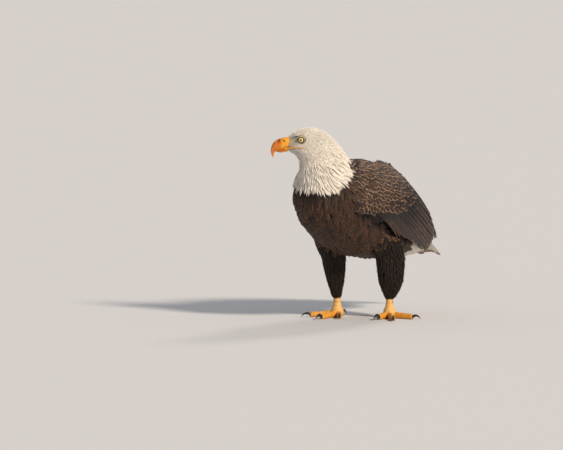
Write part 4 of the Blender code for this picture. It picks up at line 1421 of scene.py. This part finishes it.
def build_stage(settings):
    floor = bmesh.new()
    bmesh.ops.create_grid(floor, x_segments=1, y_segments=1, size=1.0)
    for vert in floor.verts:
        vert.co = Vector((vert.co.x * FLOOR_REACH, vert.co.y * FLOOR_REACH, 0.0))
    mesh = bpy.data.meshes.new("floor")
    floor.to_mesh(mesh)
    floor.free()
    made = bpy.data.objects.new("floor", mesh)
    bpy.context.scene.collection.objects.link(made)
    surface, tree, shader = started("pale matt floor")
    shader.inputs["Base Color"].default_value = linear("D6D7DA")
    shader.inputs["Roughness"].default_value = 0.9
    mesh.materials.append(surface)
    turn, rise = math.radians(CAMERA_TURN), math.radians(CAMERA_RISE)
    right = Vector((math.cos(turn), math.sin(turn), 0))
    back = Vector((math.sin(turn) * math.cos(rise), -math.cos(turn) * math.cos(rise), math.sin(rise)))
    up = back.cross(right)
    view = bpy.data.cameras.new("camera")
    view.sensor_width = 36.0
    view.lens = view.sensor_width * CAMERA_AWAY / VIEW_WIDTH
    view.clip_end = 1000.0
    camera = bpy.data.objects.new("camera", view)
    camera.rotation_mode = "QUATERNION"
    camera.location = right * VIEW_MIDDLE[0] + up * VIEW_MIDDLE[1] + back * CAMERA_AWAY
    camera.rotation_quaternion = back.to_track_quat("Z", "Y")
    bpy.context.scene.collection.objects.link(camera)
    bpy.context.scene.camera = camera
    lamps = (
        ("key", right * 0.66 + back * 0.78 + Vector((0, 0, 0.6)), 9.0, settings.key_light, "FFEEDA"),
        ("back_light", right * 0.5 - back * 0.9 + Vector((0, 0, 0.9)), 14.0, settings.back_light, "FFF6EA"),
    )
    for name, away, spread, strength, colour in lamps:
        lamp = bpy.data.lights.new(name, "SUN")
        lamp.angle = math.radians(spread)
        lamp.energy = strength
        lamp.color = linear(colour)[:3]
        held = bpy.data.objects.new(name, lamp)
        held.rotation_mode = "QUATERNION"
        held.rotation_quaternion = away.to_track_quat("Z", "Y")
        bpy.context.scene.collection.objects.link(held)
    world = bpy.data.worlds.new("studio")
    world.use_nodes = True
    world.node_tree.nodes["Background"].inputs[0].default_value = linear("D5DAE2")
    world.node_tree.nodes["Background"].inputs[1].default_value = settings.room_light
    bpy.context.scene.world = world
    bpy.context.scene.view_settings.view_transform = "Standard"


class EagleStageSettings(PropertyGroup):
    key_light: FloatProperty(name="Key light", description="Strength of the key light", default=3.4)
    back_light: FloatProperty(name="Back light", description="Strength of the back light", default=0.7)
    room_light: FloatProperty(name="Room light", description="Strength of the room's light", default=0.42)


looks = {}


class EAGLE_OT_stage(Operator):
    """Lays the floor and sets up the lights and the camera"""

    bl_idname = "eagle.stage"
    bl_label = "Set the stage"

    def execute(self, context):
        build_stage(context.scene.eagle_stage)
        return {"FINISHED"}


class EAGLE_OT_finishes(Operator):
    """Mixes the materials of feathers, horn, skin and eyes"""

    bl_idname = "eagle.finishes"
    bl_label = "Mix the finishes"

    def execute(self, context):
        looks["skin"] = skin_material()
        looks["white"] = feather_material(
            "white feathers", linear("FFFAF0"), linear("C9BDAC"), linear("FFFFFF"), (0.9, 0.9), 0.6, 10.0
        )
        looks["brown"] = feather_material(
            "breast feathers", linear("4A2F1C"), linear("150D08"), linear("9A7048"), (0.72, 0.93), 0.6, 22.0
        )
        looks["covert"] = feather_material(
            "covert feathers", linear("3E281B"), linear("120B07"), linear("B8977A"), (0.64, 0.93), 0.55, 22.0
        )
        looks["thigh"] = feather_material(
            "thigh feathers", linear("33231A"), linear("0E0906"), linear("5A4232"), (0.8, 0.9), 0.65, 8.0
        )
        looks["quill"] = feather_material(
            "flight feathers", linear("33231A"), linear("0D0806"), linear("A88260"), (0.86, 0.985), 0.45, 70.0
        )
        looks["tip"] = feather_material(
            "dark quills", linear("1A1310"), linear("080605"), linear("3A2A20"), (0.9, 0.985), 0.42, 70.0
        )
        looks["tail"] = feather_material(
            "tail feathers", linear("F2E6D4"), linear("B09A7C"), linear("7A5C40"), (0.93, 0.94), 0.5, 70.0
        )
        looks["horn"] = horn_material()
        looks["foot"] = foot_material()
        looks["claw"] = claw_material()
        looks["eye"] = eye_material()
        return {"FINISHED"}


class EAGLE_OT_skin(Operator):
    """Lays one skin over the head, neck, trunk, arms and thighs"""

    bl_idname = "eagle.skin"
    bl_label = "Lay the skin"

    def execute(self, context):
        build_outline()
        for side_name, _ in SIDES:
            names = ["wing_" + side_name, "primaries_" + side_name]
            laid["wing_" + side_name] = Surface(remeshed(merged(names), SKIN_VOXEL, 4))
        laid["tail"] = Surface(remeshed(merged(["tail"]), SKIN_VOXEL, 2))
        build_skin(looks)
        return {"FINISHED"}


class EAGLE_OT_plumage(Operator):
    """Grows the small feathers of every tract"""

    bl_idname = "eagle.plumage"
    bl_label = "Grow the plumage"

    def execute(self, context):
        head_tract(looks)
        body_tracts(looks)
        thigh_tract(looks)
        return {"FINISHED"}


class EAGLE_OT_quills(Operator):
    """Sets the flight feathers of the wings and the tail"""

    bl_idname = "eagle.quills"
    bl_label = "Set the quills"

    def execute(self, context):
        dice = np.random.default_rng(41)
        wing_quills("secondaries", SECONDARIES, 20, looks["quill"], looks, dice, 0.9)
        wing_quills("primaries", PRIMARIES, 9, looks["tip"], looks, dice, 0.3)
        tail_quills(looks)
        return {"FINISHED"}


class EAGLE_OT_head(Operator):
    """Finishes the bill, the gape and the eyes"""

    bl_idname = "eagle.head"
    bl_label = "Finish the head"

    def execute(self, context):
        build_bill(looks)
        build_gape(looks)
        build_eyes(looks)
        return {"FINISHED"}


class EAGLE_OT_feet(Operator):
    """Scales the feet and polishes the talons"""

    bl_idname = "eagle.feet"
    bl_label = "Finish the feet"

    def execute(self, context):
        build_feet(looks)
        return {"FINISHED"}


STEPS = ("stage", "finishes", "skin", "plumage", "quills", "head", "feet")


class EAGLE_PT_panel(Panel):
    bl_idname = "EAGLE_PT_panel"
    bl_label = "Bald eagle"
    bl_space_type = "VIEW_3D"
    bl_region_type = "UI"
    bl_category = "Eagle"

    def draw(self, context):
        for step in STEPS:
            self.layout.operator("eagle." + step)
        for name in ("key_light", "back_light", "room_light"):
            self.layout.prop(context.scene.eagle_stage, name)


CLASSES = (
    EagleStageSettings,
    EAGLE_OT_stage,
    EAGLE_OT_finishes,
    EAGLE_OT_skin,
    EAGLE_OT_plumage,
    EAGLE_OT_quills,
    EAGLE_OT_head,
    EAGLE_OT_feet,
    EAGLE_PT_panel,
)


def register():
    for made in CLASSES:
        bpy.utils.register_class(made)
    bpy.types.Scene.eagle_stage = PointerProperty(type=EagleStageSettings)


def unregister():
    del bpy.types.Scene.eagle_stage
    for made in reversed(CLASSES):
        bpy.utils.unregister_class(made)


def main():
    register()
    for step in STEPS:
        getattr(bpy.ops.eagle, step)()


if __name__ == "__main__":
    main()
